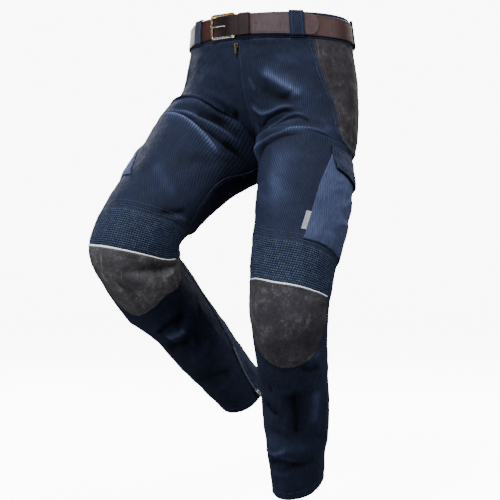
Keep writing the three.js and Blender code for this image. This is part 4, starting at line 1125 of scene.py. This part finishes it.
def panel(half, name, strip, top, foot, size, thick, relief, material):
    cell = BACK_CELL if strip == "back" else CELL
    u, v = strip_grid(half.leg, strip, top, foot, *size, cell)
    sheet = Sheet(half, u, v, thick, relief=relief)
    title = f"{name}_{half.leg['name']}"
    grain = np.stack([half.side * u * GIRTH, sheet.down], axis=-1)
    declare(add_sheet(f"{title}_cloth", sheet, [material], uv=grain), title, sheet)
    return sheet


def resample(knots, shares, smooth=True):
    """Points at the given shares of a path of (u, v) knots."""
    knots = np.array(knots, float)
    step = np.linalg.norm(np.diff(knots, axis=0) * (GIRTH, LEG_STEP), axis=1)
    length = np.concatenate([[0], np.cumsum(step)])
    x = np.asarray(shares) * length[-1]
    if smooth and len(knots) > 2:
        return spline(length, knots[:, None, :] * np.ones((1, len(x), 1)), x)
    return np.stack([np.interp(x, length, knots[:, k]) for k in range(2)], axis=-1)


def coons(top, foot, first, last, width, length, cell, smooth=True):
    """Grid of (u, v) filling four edges; top and foot run the same way, first and last run down."""
    a, b = spread(width, cell, (0.6, 1.4, 2.6)), spread(length, cell, (0.6, 1.4, 2.6))
    rise, base = resample(top, a, smooth), resample(foot, a, smooth)
    near, far = resample(first, b, smooth), resample(last, b, smooth)
    s, t = a[None, :, None], b[:, None, None]
    corners = [near[0], far[0], near[-1], far[-1]]
    flat = (1 - s) * (1 - t) * corners[0] + s * (1 - t) * corners[1]
    flat = flat + (1 - s) * t * corners[2] + s * t * corners[3]
    grid = (1 - t) * rise[None] + t * base[None] + (1 - s) * near[:, None] + s * far[:, None] - flat
    return grid[..., 0], grid[..., 1]


def laid(high=0.5, deep=6.5, pucker=0.2):
    """Relief of a piece sewn on top: pressed down at the rim and along its sewing."""
    def relief(sheet):
        gap = np.minimum.reduce([sheet.edge_gap(edge) for edge in ("front", "back", "top", "foot")])
        wave = np.sin((sheet.across + sheet.down) / 2.3 + np.sin(sheet.across / 11))
        total = high * ease((gap - deep) / 5) - 0.5 * np.exp(-((gap / 0.9) ** 2))
        return total + pucker * wave * np.exp(-(((gap - 4) / 5) ** 2)) * ease(gap / 2)
    return relief


def add_leg(half):
    """All the panels of one half of the garment, with their sewing."""
    leg = half.leg
    sewing = Sewing()
    thigh = panel(half, "front_thigh", "front", "waist_seam", "stretch_top", (240, 420), CLOTH,
                  lapped("back", "top"), TWILL)
    hip = panel(half, "hip_panel", "hip", "waist_seam", "hip_tip", (130, 215), SUEDE,
                lapped("front", "back", high=0.5, pucker=0.35), HIP_SUEDE)
    back = panel(half, "back", "back", "waist_seam", "hem", (240, 900), CLOTH,
                 lapped("back", "foot", high=0.8), TWILL)
    shin = panel(half, "front_shin", "front", "stretch_foot", "hem", (230, 330), CLOTH,
                 lapped("back", "foot", high=0.8), TWILL)

    u, v = strip_grid(leg, "front", "stretch_top", "stretch_foot", 250, 75, 0.8)
    stretch = Sheet(half, u[:, ::2], v[:, ::2], CLOTH, relief=ribbed)
    rib = (stretch.down - RIB_BAND) / (stretch.length - RIB_BAND) * RIB_COUNT * ROW_HEIGHT
    uv = np.stack([stretch.across, rib], axis=-1)
    plain = (stretch.down[:-1, :-1] < RIB_BAND - 0.4).astype(int)
    title = f"knee_stretch_{leg['name']}"
    piece = add_sheet(f"{title}_cloth", stretch, [STRETCH, TWILL], picks=plain, uv=uv)
    declare(piece, title, stretch)
    sewing.rows(stretch, "top", (1.6, RIB_BAND - 1.2))

    sewing.rows(thigh, "back", start=0.02)
    sewing.rows(thigh, "foot", (2.4, 8.6))
    sewing.rows(thigh, "top", (2.2,))
    sewing.rows(hip, "front")
    sewing.rows(hip, "back")
    sewing.rows(back, "back", start=0.34)
    sewing.rows(back, "top", (2.2,))
    sewing.rows(shin, "back")
    sewing.rows(shin, "foot", (HEM_SEWING,))
    sewing.rows(back, "foot", (HEM_SEWING,))
    add_knee(half)
    add_pocket(half, sewing)
    sewing.finish(f"sewing_{leg['name']}", THREAD)


# Distances under the seam, in v, and the height of the cord under the piping
PIPING_TOP = 0.0030
PIPING_FOOT = 0.0094
PATCH_TOP = 0.0110
PIPING_SWELL = 1.5


def corded(sheet):
    """Relief of a piping over its cord."""
    return PIPING_SWELL * hump(sheet.down / sheet.length) ** 0.6


def add_knee(half):
    """White piping at the foot of the stretch cloth and the suede patch below it."""
    leg, patch = half.leg, half.leg["patch"]
    across = np.linspace(patch["from"], patch["to"], 25)
    seam = curve(leg["cuts"], "u", "foot", across)
    name = leg["name"]

    edge = [list(zip(across, seam + below)) for below in (PIPING_TOP, PIPING_FOOT, PATCH_TOP)]
    upper, lower = edge[0][patch["hidden"]:], edge[1][patch["hidden"]:]
    u, v = coons(upper, lower, [upper[0], lower[0]], [upper[-1], lower[-1]], 190, 6, 1.4)
    cord = Sheet(half, u, v, 1.2, rise=LAY + 0.3, relief=corded)
    add_cloth(f"piping_{name}", "cord", cord, WHITE)

    right = [edge[2][-1]] + patch["right"]
    left = [edge[2][0]] + patch["left"][::-1]
    foot = [patch["left"][0]] + patch["foot"][::-1] + [patch["right"][-1]]
    u, v = coons(edge[2], foot, left, right, 185, 85, 2.6)
    suede = Sheet(half, u, v, PATCH, rise=LAY + PATCH, relief=laid(0.8, 8, 0.3))
    add_cloth(f"knee_patch_{name}", "suede", suede, KNEE_SUEDE[name])
    threads = Sewing()
    for side in ("front", "back", "top", "foot"):
        threads.row(*suede.line(side, 2.2))
        threads.row(*suede.line(side, 7.4, 0.06, 0.94))
    threads.finish(f"patch_sewing_{name}", DARK_THREAD)


POCKET = {
    "top": 1.062, "foot": 1.668,
    "front_top": 0.446, "front_foot": 0.322, "back_top": 0.622, "back_foot": 0.632,
}
FLAP_LIFT = 4.2
FLAP_TOP = [(0.436, 1.040), (0.630, 1.034)]
FLAP_FOOT = [(0.450, 1.176), (0.505, 1.206), (0.636, 1.190)]


def pocket_edge(v):
    down = (v - POCKET["top"]) / (POCKET["foot"] - POCKET["top"])
    return lerp(POCKET["front_top"], POCKET["front_foot"], down)


def swell(u, v):
    """Height of the pocket over the leg, at the points of the pocket and of its flap."""
    down = (v - POCKET["top"]) / (POCKET["foot"] - POCKET["top"])
    front = pocket_edge(v)
    back = lerp(POCKET["back_top"], POCKET["back_foot"], down)
    across = np.clip((u - front) / (back - front), 0, 1)
    down = np.clip(down, 0, 1)
    return POCKET_SWELL * hump(across) ** 0.8 * hump(down) ** 0.6


# Creases of the cargo pocket alone
POCKET_CREASES = table(FOLD, [
    (0.46, 1.45, 0.55, 1.31, 5, 6, 2.4),
    (0.43, 1.55, 0.56, 1.46, 6, 7, 2.2),
    (0.47, 1.50, 0.57, 1.40, 3, 5, -1.8),
    (0.38, 1.42, 0.46, 1.26, -5, 8, 1.6),
    (0.37, 1.60, 0.50, 1.58, 4, 6, -1.4),
    (0.54, 1.26, 0.60, 1.50, 5, 7, 1.6),
    (0.42, 1.34, 0.50, 1.25, 3, 5, -1.5),
    (0.56, 1.58, 0.62, 1.46, 3, 6, -1.4),
])


def pocket_relief(sheet):
    """Relief of the pocket: a pressed rim, and creases that fade at its front and back edge."""
    sides = ease(np.minimum(sheet.across, sheet.width - sheet.across) / 14)
    return laid(0.4, 6, 0.25)(sheet) + fold_height(POCKET_CREASES, sheet.u, sheet.v) * sides


def flap_relief(sheet):
    """Relief of the flap: a pressed rim, and a foot that stands off the pocket."""
    lip = ease((sheet.down / sheet.length - 0.35) / 0.65)
    return laid(0.5, 6, 0.25)(sheet) + FLAP_LIFT * lip


def add_pocket(half, sewing):
    """Cargo pocket on the outseam and its flap, which falls over the pocket's mouth."""
    name = half.leg["name"]
    high, low = POCKET["top"], POCKET["foot"]
    top = [(POCKET["front_top"], high), (POCKET["back_top"], high)]
    foot = [(POCKET["front_foot"], low), (0.48, low + 0.004), (POCKET["back_foot"], low - 0.02)]
    first = [top[0], (pocket_edge(1.295) - 0.004, 1.295), foot[0]]
    u, v = coons(top, foot, first, [top[1], foot[-1]], 125, 190, 2.8, smooth=False)
    pocket = Sheet(half, u, v, CLOTH, rise=LAY + CLOTH + swell(u, v), relief=pocket_relief)
    add_cloth(f"cargo_pocket_{name}", "cloth", pocket, POCKET_TWILL)
    for side in ("front", "back", "foot"):
        sewing.rows(pocket, side, (2.0, 7.8))

    first, last = [FLAP_TOP[0], FLAP_FOOT[0]], [FLAP_TOP[1], FLAP_FOOT[-1]]
    u, v = coons(FLAP_TOP, FLAP_FOOT, first, last, 105, 50, 2.6, smooth=False)
    flap = Sheet(half, u, v, CLOTH, rise=2 * LAY + 2 * CLOTH + swell(u, v), relief=flap_relief)
    add_cloth(f"cargo_flap_{name}", "cloth", flap, TWILL)
    for side in ("top", "front", "back", "foot"):
        sewing.rows(flap, side, (1.8, 7.2))


LABEL_TOP, LABEL_FOOT, LABEL_WIDE = 1.505, 1.612, 0.017


def label_relief(sheet):
    """Relief of the label: a low bow, and a front edge that stands off."""
    bow = 0.5 * hump(sheet.down / sheet.length)
    return bow + 0.7 * ease(1 - sheet.across / 5)


def add_label(half):
    """Blank woven label caught in the front edge of the left pocket."""
    rows = [LABEL_TOP, LABEL_FOOT]
    back = [(pocket_edge(v) - 0.001, v) for v in rows]
    front = [(u - LABEL_WIDE, v) for u, v in back]
    u, v = coons([front[0], back[0]], [front[1], back[1]], front, back, 10, 36, 1.2)
    sheet = Sheet(half, u, v, LABEL, rise=LAY + LABEL, relief=label_relief)
    add_cloth("side_label", "satin", sheet, SATIN)


# Waist: w runs from the front over the wearer's left (0 to 1), the back and the right (1 to 2) to the
# front again; h is the depth under the waist's edge and out the distance from the band. The strap
# starts at BELT_START and lies on the band, then on itself, SECOND_LAYER over the band
BAND_DEEP = 50
STRAP = 3.2
BELT_WIDE = 39
BELT_TOP = 1.5
SIDE_DROP = 5
SECOND_LAYER = LAY + STRAP + LAY
BELT_START = 0.012
STRAP_LIFT = table("w rise", [
    (BELT_START, LAY),
    (1.943, LAY),
    (1.973, 5.7),
    (2.000, 5.7),
    (2.050, SECOND_LAYER),
    (2.400, SECOND_LAYER),
])


def waist(w, h, out):
    w, h, out = (np.asarray(x, float) for x in np.broadcast_arrays(w, h, out))
    signed = (w + 1) % 2 - 1
    points = np.empty(w.shape + (3,))
    for half, mask in ((HALVES[0], signed >= 0), (HALVES[1], signed < 0)):
        if mask.any():
            u = np.abs(signed[mask])
            edge = half.place(u, np.zeros_like(u), out[mask])
            foot = half.place(u, np.full_like(u, WAIST_SEAM), out[mask])
            points[mask] = lerp(edge, foot, (h[mask] / BAND_DEEP)[:, None])
    return points


def waist_normal(w, h):
    return unit(waist(w, h, 4.0) - waist(w, h, 0.0))


def belt_top(w):
    return BELT_TOP + SIDE_DROP * ease((1 - np.abs(1 - (w % 2))) / 0.4)


def belt_middle(w):
    return belt_top(w) + BELT_WIDE / 2


def strap_rise(w):
    return np.interp(w, column(STRAP_LIFT, "w"), column(STRAP_LIFT, "rise"))


def smooth_rise(w):
    """Height of the strap over the band, its bends rounded as in thick leather."""
    steps = np.linspace(-0.016, 0.016, 9)
    return np.mean([strap_rise(np.maximum(w + step, BELT_START)) for step in steps], axis=0)


def add_band(name, path, normals, half_wide, half_thick, material, boxy, sides, closed=False, wear_and_shade=0.0):
    """Flat strap along a path: a rounded rectangle swept with its flat side towards the normals."""
    normals = unit(np.broadcast_to(normals, path.shape))
    if closed:
        tangents = unit(np.roll(path, -1, 0) - np.roll(path, 1, 0))
    else:
        tangents = unit(np.gradient(path, axis=0))
    beside = unit(np.cross(normals, tangents))
    up = np.cross(tangents, beside)
    turn = np.linspace(0, 2 * math.pi, sides, endpoint=False) + math.pi / sides
    c, s = np.cos(turn), np.sin(turn)
    x, z = np.sign(c) * np.abs(c) ** boxy, np.sign(s) * np.abs(s) ** (boxy * 2)
    wide, thick = np.broadcast_to(half_wide, len(path)), np.broadcast_to(half_thick, len(path))
    points = path[:, None] + (x * wide[:, None])[..., None] * beside[:, None]
    points = points + (z * thick[:, None])[..., None] * up[:, None]
    length = path_length(path)
    around = np.concatenate([[0], np.cumsum(np.hypot(np.diff(x) * wide.max(), np.diff(z) * thick.max()))])
    uvs = np.stack(np.broadcast_arrays(around[None, :], length[:, None]), axis=-1).reshape(-1, 2)
    faces = tube_faces(len(path), sides, closed)
    wear_and_shade_values = np.repeat(np.broadcast_to(wear_and_shade, len(path)), sides)
    return make_mesh(name, points.reshape(-1, 3), faces, uvs, [material], wear_and_shade=wear_and_shade_values)


def band_relief(sheet):
    """Relief of the waistband: rounded edges, and puckers along the sewing at its foot."""
    top, foot = sheet.edge_gap("top"), sheet.edge_gap("foot")
    rim = -0.7 * np.exp(-(top ** 2)) - 0.7 * np.exp(-(foot ** 2))
    wave = np.sin(sheet.across / 2.1 + np.sin(sheet.across / 17))
    return rim + 0.12 * wave * np.exp(-(((foot - 3) / 5) ** 2))


def add_waistband(half, sewing):
    """One half of the folded waistband, stitched along both edges."""
    u, h = np.meshgrid(spread(450, 3.6), spread(BAND_DEEP, 2.2, (0.7, 1.6, 2.8)) * BAND_DEEP)
    v = h / BAND_DEEP * WAIST_SEAM
    sheet = Sheet(half, u, v, BAND, relief=band_relief, fine=False)
    add_cloth(f"waistband_{half.leg['name']}", "cloth", sheet, TWILL)
    sewing.rows(sheet, "top", (1.9,))
    sewing.rows(sheet, "foot", (2.0, 5.2))


# Places on the waist: where the strap comes round to the buckle, with closer points and darker leather,
# the start and the length of its round tip, its holes, and the keeper
BELT_FRONT = 1.90
TIP_START = 2.290
TIP_LONG = 0.037
BELT_HOLES = [1.984, 2.085]
KEEPER_PLACE = 0.040


def add_belt():
    """The strap with its round tip and holes, and the keeper band over both layers."""
    tip = TIP_START + TIP_LONG * np.sin(np.linspace(0.05, 1, 14) * math.pi / 2)
    first, second = np.linspace(BELT_START, BELT_FRONT, 300), np.linspace(BELT_FRONT + 0.005, TIP_START, 90)
    w = np.concatenate([first, second, tip])
    share = np.sqrt(np.clip(1 - ((w - TIP_START) / (TIP_LONG + 0.0005)) ** 2, 0.02, 1))
    share = np.where(w < TIP_START, 1, share)
    rise = smooth_rise(w) + STRAP / 2
    path = waist(w, belt_middle(w), rise)
    # Paler and greyer from the second layer towards the tip, darker from the buckle's front to the second
    # layer
    paler_stretch = ease((w - 2.05) / 0.03) * (0.55 + 0.45 * ease((2.25 - w) / 0.03))
    dark = 0.8 * ease((w - BELT_FRONT) / 0.02) * ease((2.06 - w) / 0.02)
    strap = add_band("belt_strap_leather", path, waist_normal(w, belt_middle(w)), BELT_WIDE / 2 * share,
                     STRAP / 2, LEATHER, boxy=0.12, sides=36, wear_and_shade=paler_stretch - dark)
    declare(strap, "belt_strap")

    for number, place in enumerate(BELT_HOLES):
        middle = waist(place, belt_middle(place), smooth_rise(place) + STRAP)
        out = waist_normal(place, belt_middle(place))
        hole = add_disc(f"belt_hole_{number}", middle, out, 1.9, HOLE_SHADE)
        declare(hole, None)

    sewing = Sewing()
    for deep in (-0.5, 0.5):
        h = belt_middle(w) + deep * (BELT_WIDE - 5.5)
        keep = w < 2.28
        line = waist(w, h, rise + STRAP / 2 + 0.02)[keep]
        sewing.row(line, waist_normal(w, h)[keep], pitch=4.2, long=3.3)
    sewing.finish("belt_sewing", DARK_THREAD)

    inside = BELT_WIDE / 2 + 1.3
    front, back = 10.1, 0.3
    corners = [(inside, back), (inside, front), (-inside, front), (-inside, back)]
    loop = rounded_loop(corners, 2.6)
    middle = belt_middle(KEEPER_PLACE)
    points = np.array([waist(KEEPER_PLACE, middle - y, z + 0.2) for y, z in loop])
    centre = waist(KEEPER_PLACE, middle, (front + back) / 2)
    keeper = add_band("belt_keeper_leather", points, points - centre, 11.2, 1.15, LEATHER, boxy=0.3,
                      sides=20, closed=True, wear_and_shade=-0.8)
    declare(keeper, "belt_keeper")


def bend(start, corner, end, t):
    """Point at share t of a curve that leaves start and reaches end along a corner's two sides."""
    return (1 - t) ** 2 * start + 2 * t * (1 - t) * corner + t * t * end


ARC_STEPS = 7


def rounded_loop(corners, radius):
    """Closed path through corners, each rounded from radius before it to radius after it."""
    corners = np.array(corners, float)
    path = []
    for k, corner in enumerate(corners):
        to_last, to_next = unit(corners[k - 1] - corner), unit(corners[(k + 1) % len(corners)] - corner)
        start, end = corner + to_last * radius, corner + to_next * radius
        for t in np.linspace(0, 1, ARC_STEPS):
            path.append(bend(start, corner, end, t))
        after = corners[(k + 1) % len(corners)] - to_next * radius
        for t in np.linspace(0, 1, ARC_STEPS + 2)[1:-1]:
            path.append(lerp(end, after, t))
    return np.array(path)


def add_disc(name, middle, out, radius, material):
    """Small round dent with a raised rim, as a hole punched in leather shows."""
    aside = unit(np.cross(out, [0.0, 0.0, 1.0]))
    up = np.cross(aside, out)
    rings = [(1.25, -0.25), (1.12, 0.10), (0.92, 0.12), (0.75, -0.05), (0.45, -0.08)]
    sides = 20
    turn = np.linspace(0, 2 * math.pi, sides, endpoint=False)
    points = [middle + radius * share * (math.cos(t) * aside + math.sin(t) * up) + out * high
              for share, high in rings for t in turn]
    points += [middle - out * 0.08, middle - out * 0.25]
    faces = grid_faces(len(rings), sides, closed=True).tolist()
    centre = len(rings) * sides
    last = centre - sides
    faces += [[last + k, centre, last + (k + 1) % sides] for k in range(sides)]
    faces += [[(k + 1) % sides, centre + 1, k] for k in range(sides)]
    return make_mesh(name, points, faces, np.array(points)[:, :2], [material])


# Buckle: places of its hinge bar, its middle and its far bar, its height between the bars' middles,
# the width and thickness of a bar; places and heights of the prong, and how many points it has
BUCKLE_PLACES = (1.9961, 1.945, 1.8934)
BUCKLE_HIGH = 43.4
BUCKLE_BAR = 5.4
BUCKLE_THICK = 3.4
PRONG = table("w rise", [
    (1.9906, 3.9),
    (1.974, 3.9),
    (1.954, 5.4),
    (1.922, 7.9),
    (1.896, 9.7),
    (1.8895, 9.6),
])
PRONG_STEPS = 26


def add_buckle():
    """Rounded frame of brass with a steel lip inside, and the prong on its hinge bar."""
    middle = float(belt_middle(0.0))
    hinge_place, middle_place, far_place = BUCKLE_PLACES
    hinge = waist(hinge_place, middle, 2.0 + BUCKLE_THICK / 2)
    far = waist(far_place, middle, SECOND_LAYER + 0.6 + BUCKLE_THICK / 2)
    along = unit(hinge - far)
    out = waist_normal(middle_place, middle)
    out = unit(out - along * (out @ along))
    up = np.cross(out, along)
    origin = (hinge + far) / 2
    long = np.linalg.norm(hinge - far)

    def outline(width, height, corner):
        x, y = width / 2, height / 2
        loop = rounded_loop([(-x, -y), (x, -y), (x, y), (-x, y)], corner)
        return origin + loop[:, :1] * along + loop[:, 1:] * up

    ring = outline(long, BUCKLE_HIGH, 5)
    piece = add_band("buckle_frame_brass", ring, out, BUCKLE_BAR / 2, BUCKLE_THICK / 2, BRASS, boxy=0.55,
                     sides=20, closed=True)
    declare(piece, "buckle_frame")
    lip = outline(long - BUCKLE_BAR + 0.5, BUCKLE_HIGH - BUCKLE_BAR + 0.9, 3.2) + out
    piece = add_band("buckle_lip_steel", lip, out, 0.7, 0.8, STEEL, boxy=0.8, sides=12, closed=True)
    declare(piece, None)
    low = ring[(ring - origin) @ up < 4.2 - BUCKLE_HIGH / 2] + out * 0.55
    order = np.argsort((low - origin) @ along)
    piece = add_band("buckle_foot_steel", low[order][1:-1], out, 2.2, 1.35, STEEL, boxy=0.6, sides=16)
    declare(piece, None)

    places, heights = column(PRONG, "w"), column(PRONG, "rise")
    w = np.linspace(places[0], places[-1], PRONG_STEPS)
    path = waist(w, middle, np.interp(w, places[::-1], heights[::-1]))
    radius = lerp(1.6, 1.05, np.linspace(0, 1, PRONG_STEPS))
    radius[-2:] *= (0.85, 0.55)
    piece = add_tube("buckle_prong_steel", path, radius, STEEL, 14, waist_normal(w, middle))
    declare(piece, "buckle_prong")
    share = np.linspace(-1, 1, 9)
    knuckle = hinge + 3.2 * share[:, None] * up
    piece = add_tube("buckle_knuckle_steel", knuckle, 2.5 - 0.35 * share ** 4, STEEL, 16, out)
    declare(piece, None)


LOOPS = table("name w over", [
    ("belt_loop_front_left", 0.2375, SECOND_LAYER + STRAP + LAY),
    ("belt_loop_side_left", 0.640, SECOND_LAYER),
    ("belt_loop_back", 1.000, SECOND_LAYER),
    ("belt_loop_side_right", 1.360, SECOND_LAYER),
    ("belt_loop_front_right", 1.7975, SECOND_LAYER),
])
LOOP_WIDE = 0.058
LOOP_THICK = 1.8
LOOP_BEND = 2.2


def add_loop(name, w, over):
    """Belt loop: a stitched strip from the band's edge over the belt and back to the band."""
    foot = float(belt_top(w)) + BELT_WIDE + 1.4
    half_thick = LOOP_THICK / 2
    route = [(-0.6, LAY + 0.4), (-0.7, over + half_thick), (foot + half_thick, over + half_thick),
             (foot + half_thick, LAY + half_thick), (BAND_DEEP - 0.8, LAY + half_thick)]
    knots = np.array(route, float)
    path = [knots[0]]
    for last, knot, after in zip(knots, knots[1:], knots[2:]):
        cut = min(LOOP_BEND, 0.45 * np.linalg.norm(after - knot), 0.45 * np.linalg.norm(knot - last))
        start, end = knot + unit(last - knot) * cut, knot + unit(after - knot) * cut
        previous = path[-1]
        path += [lerp(previous, start, t) for t in np.linspace(0, 1, 9)[1:-1]]
        path += [bend(start, knot, end, t) for t in np.linspace(0, 1, 6)]
    path += [lerp(path[-1], knots[-1], t) for t in np.linspace(0, 1, 6)[1:]]
    path = np.array(path)
    turn = np.gradient(path, axis=0)
    square = unit(np.stack([-turn[:, 1], turn[:, 0]], axis=-1))
    bow = np.linspace(-1, 1, 13)
    places = w + bow * LOOP_WIDE / 2
    ridge = 0.35 * np.exp(-(((np.abs(bow) - 0.80) / 0.12) ** 2)) - 0.30 * (np.abs(bow) > 0.99)
    skins = []
    for side in (1, -1):
        offset = side * half_thick + (ridge[None, :] if side > 0 else 0)
        h = path[:, :1] + square[:, :1] * offset
        out = path[:, 1:] + square[:, 1:] * offset
        skins.append(waist(places[None, :] + 0 * h, h, np.maximum(out, 0.15)))
    piece = add_shell(f"{name}_cloth", *skins, 1, TWILL)
    declare(piece, name, grid=skins[0])
    normals = grid_normals(skins[0], 1)
    sewing = Sewing()
    for k in (2, 10):
        sewing.row(skins[0][:, k], normals[:, k])
    for row in (-3, -5):
        sewing.row(skins[0][row], normals[row], pitch=1.6, long=1.3)
    sewing.finish(f"{name}_sewing", THREAD)


def add_shell(name, outer, inner, side, material):
    """Closed shell between two grids of points."""
    faces = shell_faces(*outer.shape[:2], side)
    points = np.concatenate([outer.reshape(-1, 3), inner.reshape(-1, 3)])
    flat = np.stack([arcs(outer, 1), arcs(outer, 0)], axis=-1).reshape(-1, 2)
    return make_mesh(name, points, faces, np.tile(flat, (2, 1)), [material])


# Curved sewing of the fly: its width, v where it begins to bend and where it ends, and the share of
# its points before the bend
FLY_WIDE = 36
FLY_KNEE = 0.48
FLY_FOOT = 0.62
FLY_BEND = 0.6


def add_fly(sewing):
    """The underlap behind the front edges and the curved stitching of the fly on the left front."""
    left, right = HALVES
    across = np.linspace(0.002, 0.055, 9)
    down = np.linspace(WAIST_SEAM + 0.01, 0.55, 40)
    u, v = np.meshgrid(across, down)

    def skin(out):
        return np.concatenate([right.place(u[:, ::-1], v[:, ::-1], out), left.place(u, v, out)], axis=1)

    face = skin(-CLOTH - LAY)
    lap = add_shell("fly_underlap_cloth", face, skin(-CLOTH - LAY - 1.0), 1, TWILL)
    declare(lap, "fly_underlap", grid=face)

    v = np.linspace(WAIST_SEAM + 0.02, 0.76, 120)
    u = np.full_like(v, 0.012)
    sewing.row(left.place(u, v, 0.15, True), left.normal(u, v))
    curved = Sewing()
    t = np.linspace(0, 1, 90)
    turn = (t - FLY_BEND) / (1 - FLY_BEND) * math.pi / 2
    for inset in (0.0, 5.2):
        straight = lerp(WAIST_SEAM + 0.005, FLY_KNEE, t / FLY_BEND)
        foot = FLY_FOOT - inset / LEG_STEP
        v = np.where(t < FLY_BEND, straight, FLY_KNEE + (foot - FLY_KNEE) * np.sin(turn))
        reach = (FLY_WIDE - inset) / GIRTH
        u = np.where(t < FLY_BEND, reach, reach * np.cos(turn) + 0.002)
        path = left.place(u, v, 0.15, True)
        curved.row(path, left.normal(u, v))
    curved.finish("fly_sewing", DARK_THREAD)


# Ankle zip: v at its ends, half its width in u, and the tape's thickness
ZIP_ENDS = (2.672, 2.978)
ZIP_HALF_WIDE = 4.2 / 330
ZIP_TAPE = 0.8


def add_ankle_zip(half):
    """Zip tape and coil teeth on the inseam above the hem."""
    name = half.leg["name"]
    share, v = np.meshgrid(np.linspace(-1, 1, 9), np.linspace(*ZIP_ENDS, 60))
    u = (share * ZIP_HALF_WIDE) % 1
    tape = Sheet(half, u, v, ZIP_TAPE, rise=LAY + ZIP_TAPE, fine=False)
    piece = add_shell(f"ankle_zip_{name}_tape", tape.outer, tape.inner, half.side, TWILL)
    declare(piece, f"ankle_zip_{name}", tape)
    teeth = Sewing()
    v = np.linspace(ZIP_ENDS[0] + 0.004, ZIP_ENDS[1] - 0.004, 80)
    u = np.zeros_like(v)
    path = half.place(u, v, LAY + ZIP_TAPE + 0.1)
    teeth.row(path, half.normal(u, v), pitch=2.3, long=1.5, wide=5.2)
    piece = teeth.finish(f"zip_teeth_{name}", TEETH)


def dress_fittings():
    """Metal for the CAD nodes whose shape stays: the sliders and pull tabs."""
    for title, material in (("fly", DARK_BRASS), ("ankle_left", STEEL), ("ankle_right", STEEL)):
        for part in ("slider", "pull"):
            node = bpy.data.objects[f"{title}_{part}"]
            node.material_slots[0].material = material


# Camera, light and floor. Angles are in degrees, distances and sizes in metres, powers in watts
WHITE_LIGHT = (1.0, 1.0, 1.0, 1.0)
WORLD_LIGHT = 0.20
LIGHTS = table("name azimuth elevation distance size power", [
    ("key", -28, 52, 3.0, 0.9, 134),
    ("fill", 58, 26, 3.2, 1.2, 80),
    ("top", 60, 75, 2.4, 1.0, 24),
    ("low", -55, -3, 2.4, 0.8, 38),
    ("back_left", 152, 38, 3.0, 1.2, 110),
    ("back_right", -146, 30, 3.0, 1.2, 90),
])


def add_camera():
    camera = bpy.data.cameras.new("camera")
    camera.sensor_width = 36
    camera.lens = FOCAL_PIXELS * camera.sensor_width / PHOTO_PIXELS
    camera.clip_end = 50
    piece = bpy.data.objects.new("camera", camera)
    away = Vector((math.sin(CAMERA_AZIMUTH), -math.cos(CAMERA_AZIMUTH), 0))
    piece.location = (Vector(CAMERA_TARGET) + away * CAMERA_DISTANCE) * MM
    piece.rotation_euler = (math.pi / 2, 0, CAMERA_AZIMUTH)
    bpy.context.scene.collection.objects.link(piece)
    bpy.context.scene.camera = piece


def add_light(name, azimuth, elevation, distance, size, power):
    """Area light that looks at the camera's target; azimuth counts from the camera's direction."""
    light = bpy.data.lights.new(name, "AREA")
    light.shape = "DISK"
    light.size = size
    light.energy = power
    piece = bpy.data.objects.new(name, light)
    turn = CAMERA_AZIMUTH + math.radians(azimuth)
    lift = math.radians(elevation)
    away = Vector((math.sin(turn) * math.cos(lift), -math.cos(turn) * math.cos(lift), math.sin(lift)))
    target = Vector(CAMERA_TARGET) * MM
    piece.location = target + away * distance
    piece.rotation_euler = away.to_track_quat("Z", "Y").to_euler()
    bpy.context.scene.collection.objects.link(piece)


# Stage, in metres: the wall's distance and height, the radius of the curve between floor and wall, and
# two rings of the floor; then its number of sides and how strongly it shines
STAGE_REACH = 8.0
STAGE_HIGH = 7.0
STAGE_CURVE = 1.6
STAGE_RINGS = (1.5, 4.0)
STAGE_SIDES = 96
STAGE_GLOW = 9.0


def add_stage():
    """Pale floor that curves up into a wall all round, far outside the lights."""
    floor, flat = FLOOR_LEVEL * MM, STAGE_REACH - STAGE_CURVE
    profile = [(ring, 0.0) for ring in (*STAGE_RINGS, flat)]
    for t in np.linspace(0, math.pi / 2, 14)[1:]:
        profile.append((flat + STAGE_CURVE * math.sin(t), STAGE_CURVE - STAGE_CURVE * math.cos(t)))
    profile.append((STAGE_REACH, STAGE_HIGH))
    around = np.linspace(0, 2 * math.pi, STAGE_SIDES, endpoint=False)
    points = [(r * math.cos(a), r * math.sin(a), floor + h) for r, h in profile for a in around]
    faces = grid_faces(len(profile), STAGE_SIDES, closed=True).tolist()
    faces.append(list(range(STAGE_SIDES)))
    mesh = bpy.data.meshes.new("backdrop")
    mesh.from_pydata(points, [], faces)
    mesh.polygons.foreach_set("use_smooth", [True] * len(faces))
    g = Graph("backdrop_paper", roughness=0.9, specular=0.1)
    grain = g.noise(g.place(), 40, detail=2)
    g.colour(g.ramp(grain, (0.0, srgb(246, 246, 247)), (1.0, srgb(252, 252, 253))))
    g.fix({"Emission Color": WHITE_LIGHT, "Emission Strength": STAGE_GLOW})
    mesh.materials.append(g.material)
    stage = bpy.data.objects.new("backdrop", mesh)
    stage.visible_diffuse = False
    stage.visible_glossy = False
    bpy.context.scene.collection.objects.link(stage)


def add_world():
    world = bpy.data.worlds.new("studio")
    world.use_nodes = True
    background = world.node_tree.nodes["Background"]
    background.inputs["Color"].default_value = WHITE_LIGHT
    background.inputs["Strength"].default_value = WORLD_LIGHT
    bpy.context.scene.world = world


def build():
    add_camera()
    add_world()
    add_stage()
    for row in LIGHTS:
        add_light(**row)

    for half in HALVES:
        add_leg(half)
        add_ankle_zip(half)
    add_label(HALVES[0])
    band_sewing = Sewing()
    for half in HALVES:
        add_waistband(half, band_sewing)
    add_fly(band_sewing)
    band_sewing.finish("band_sewing", THREAD)
    add_belt()
    add_buckle()
    for row in LOOPS:
        add_loop(**row)
    dress_fittings()


build()
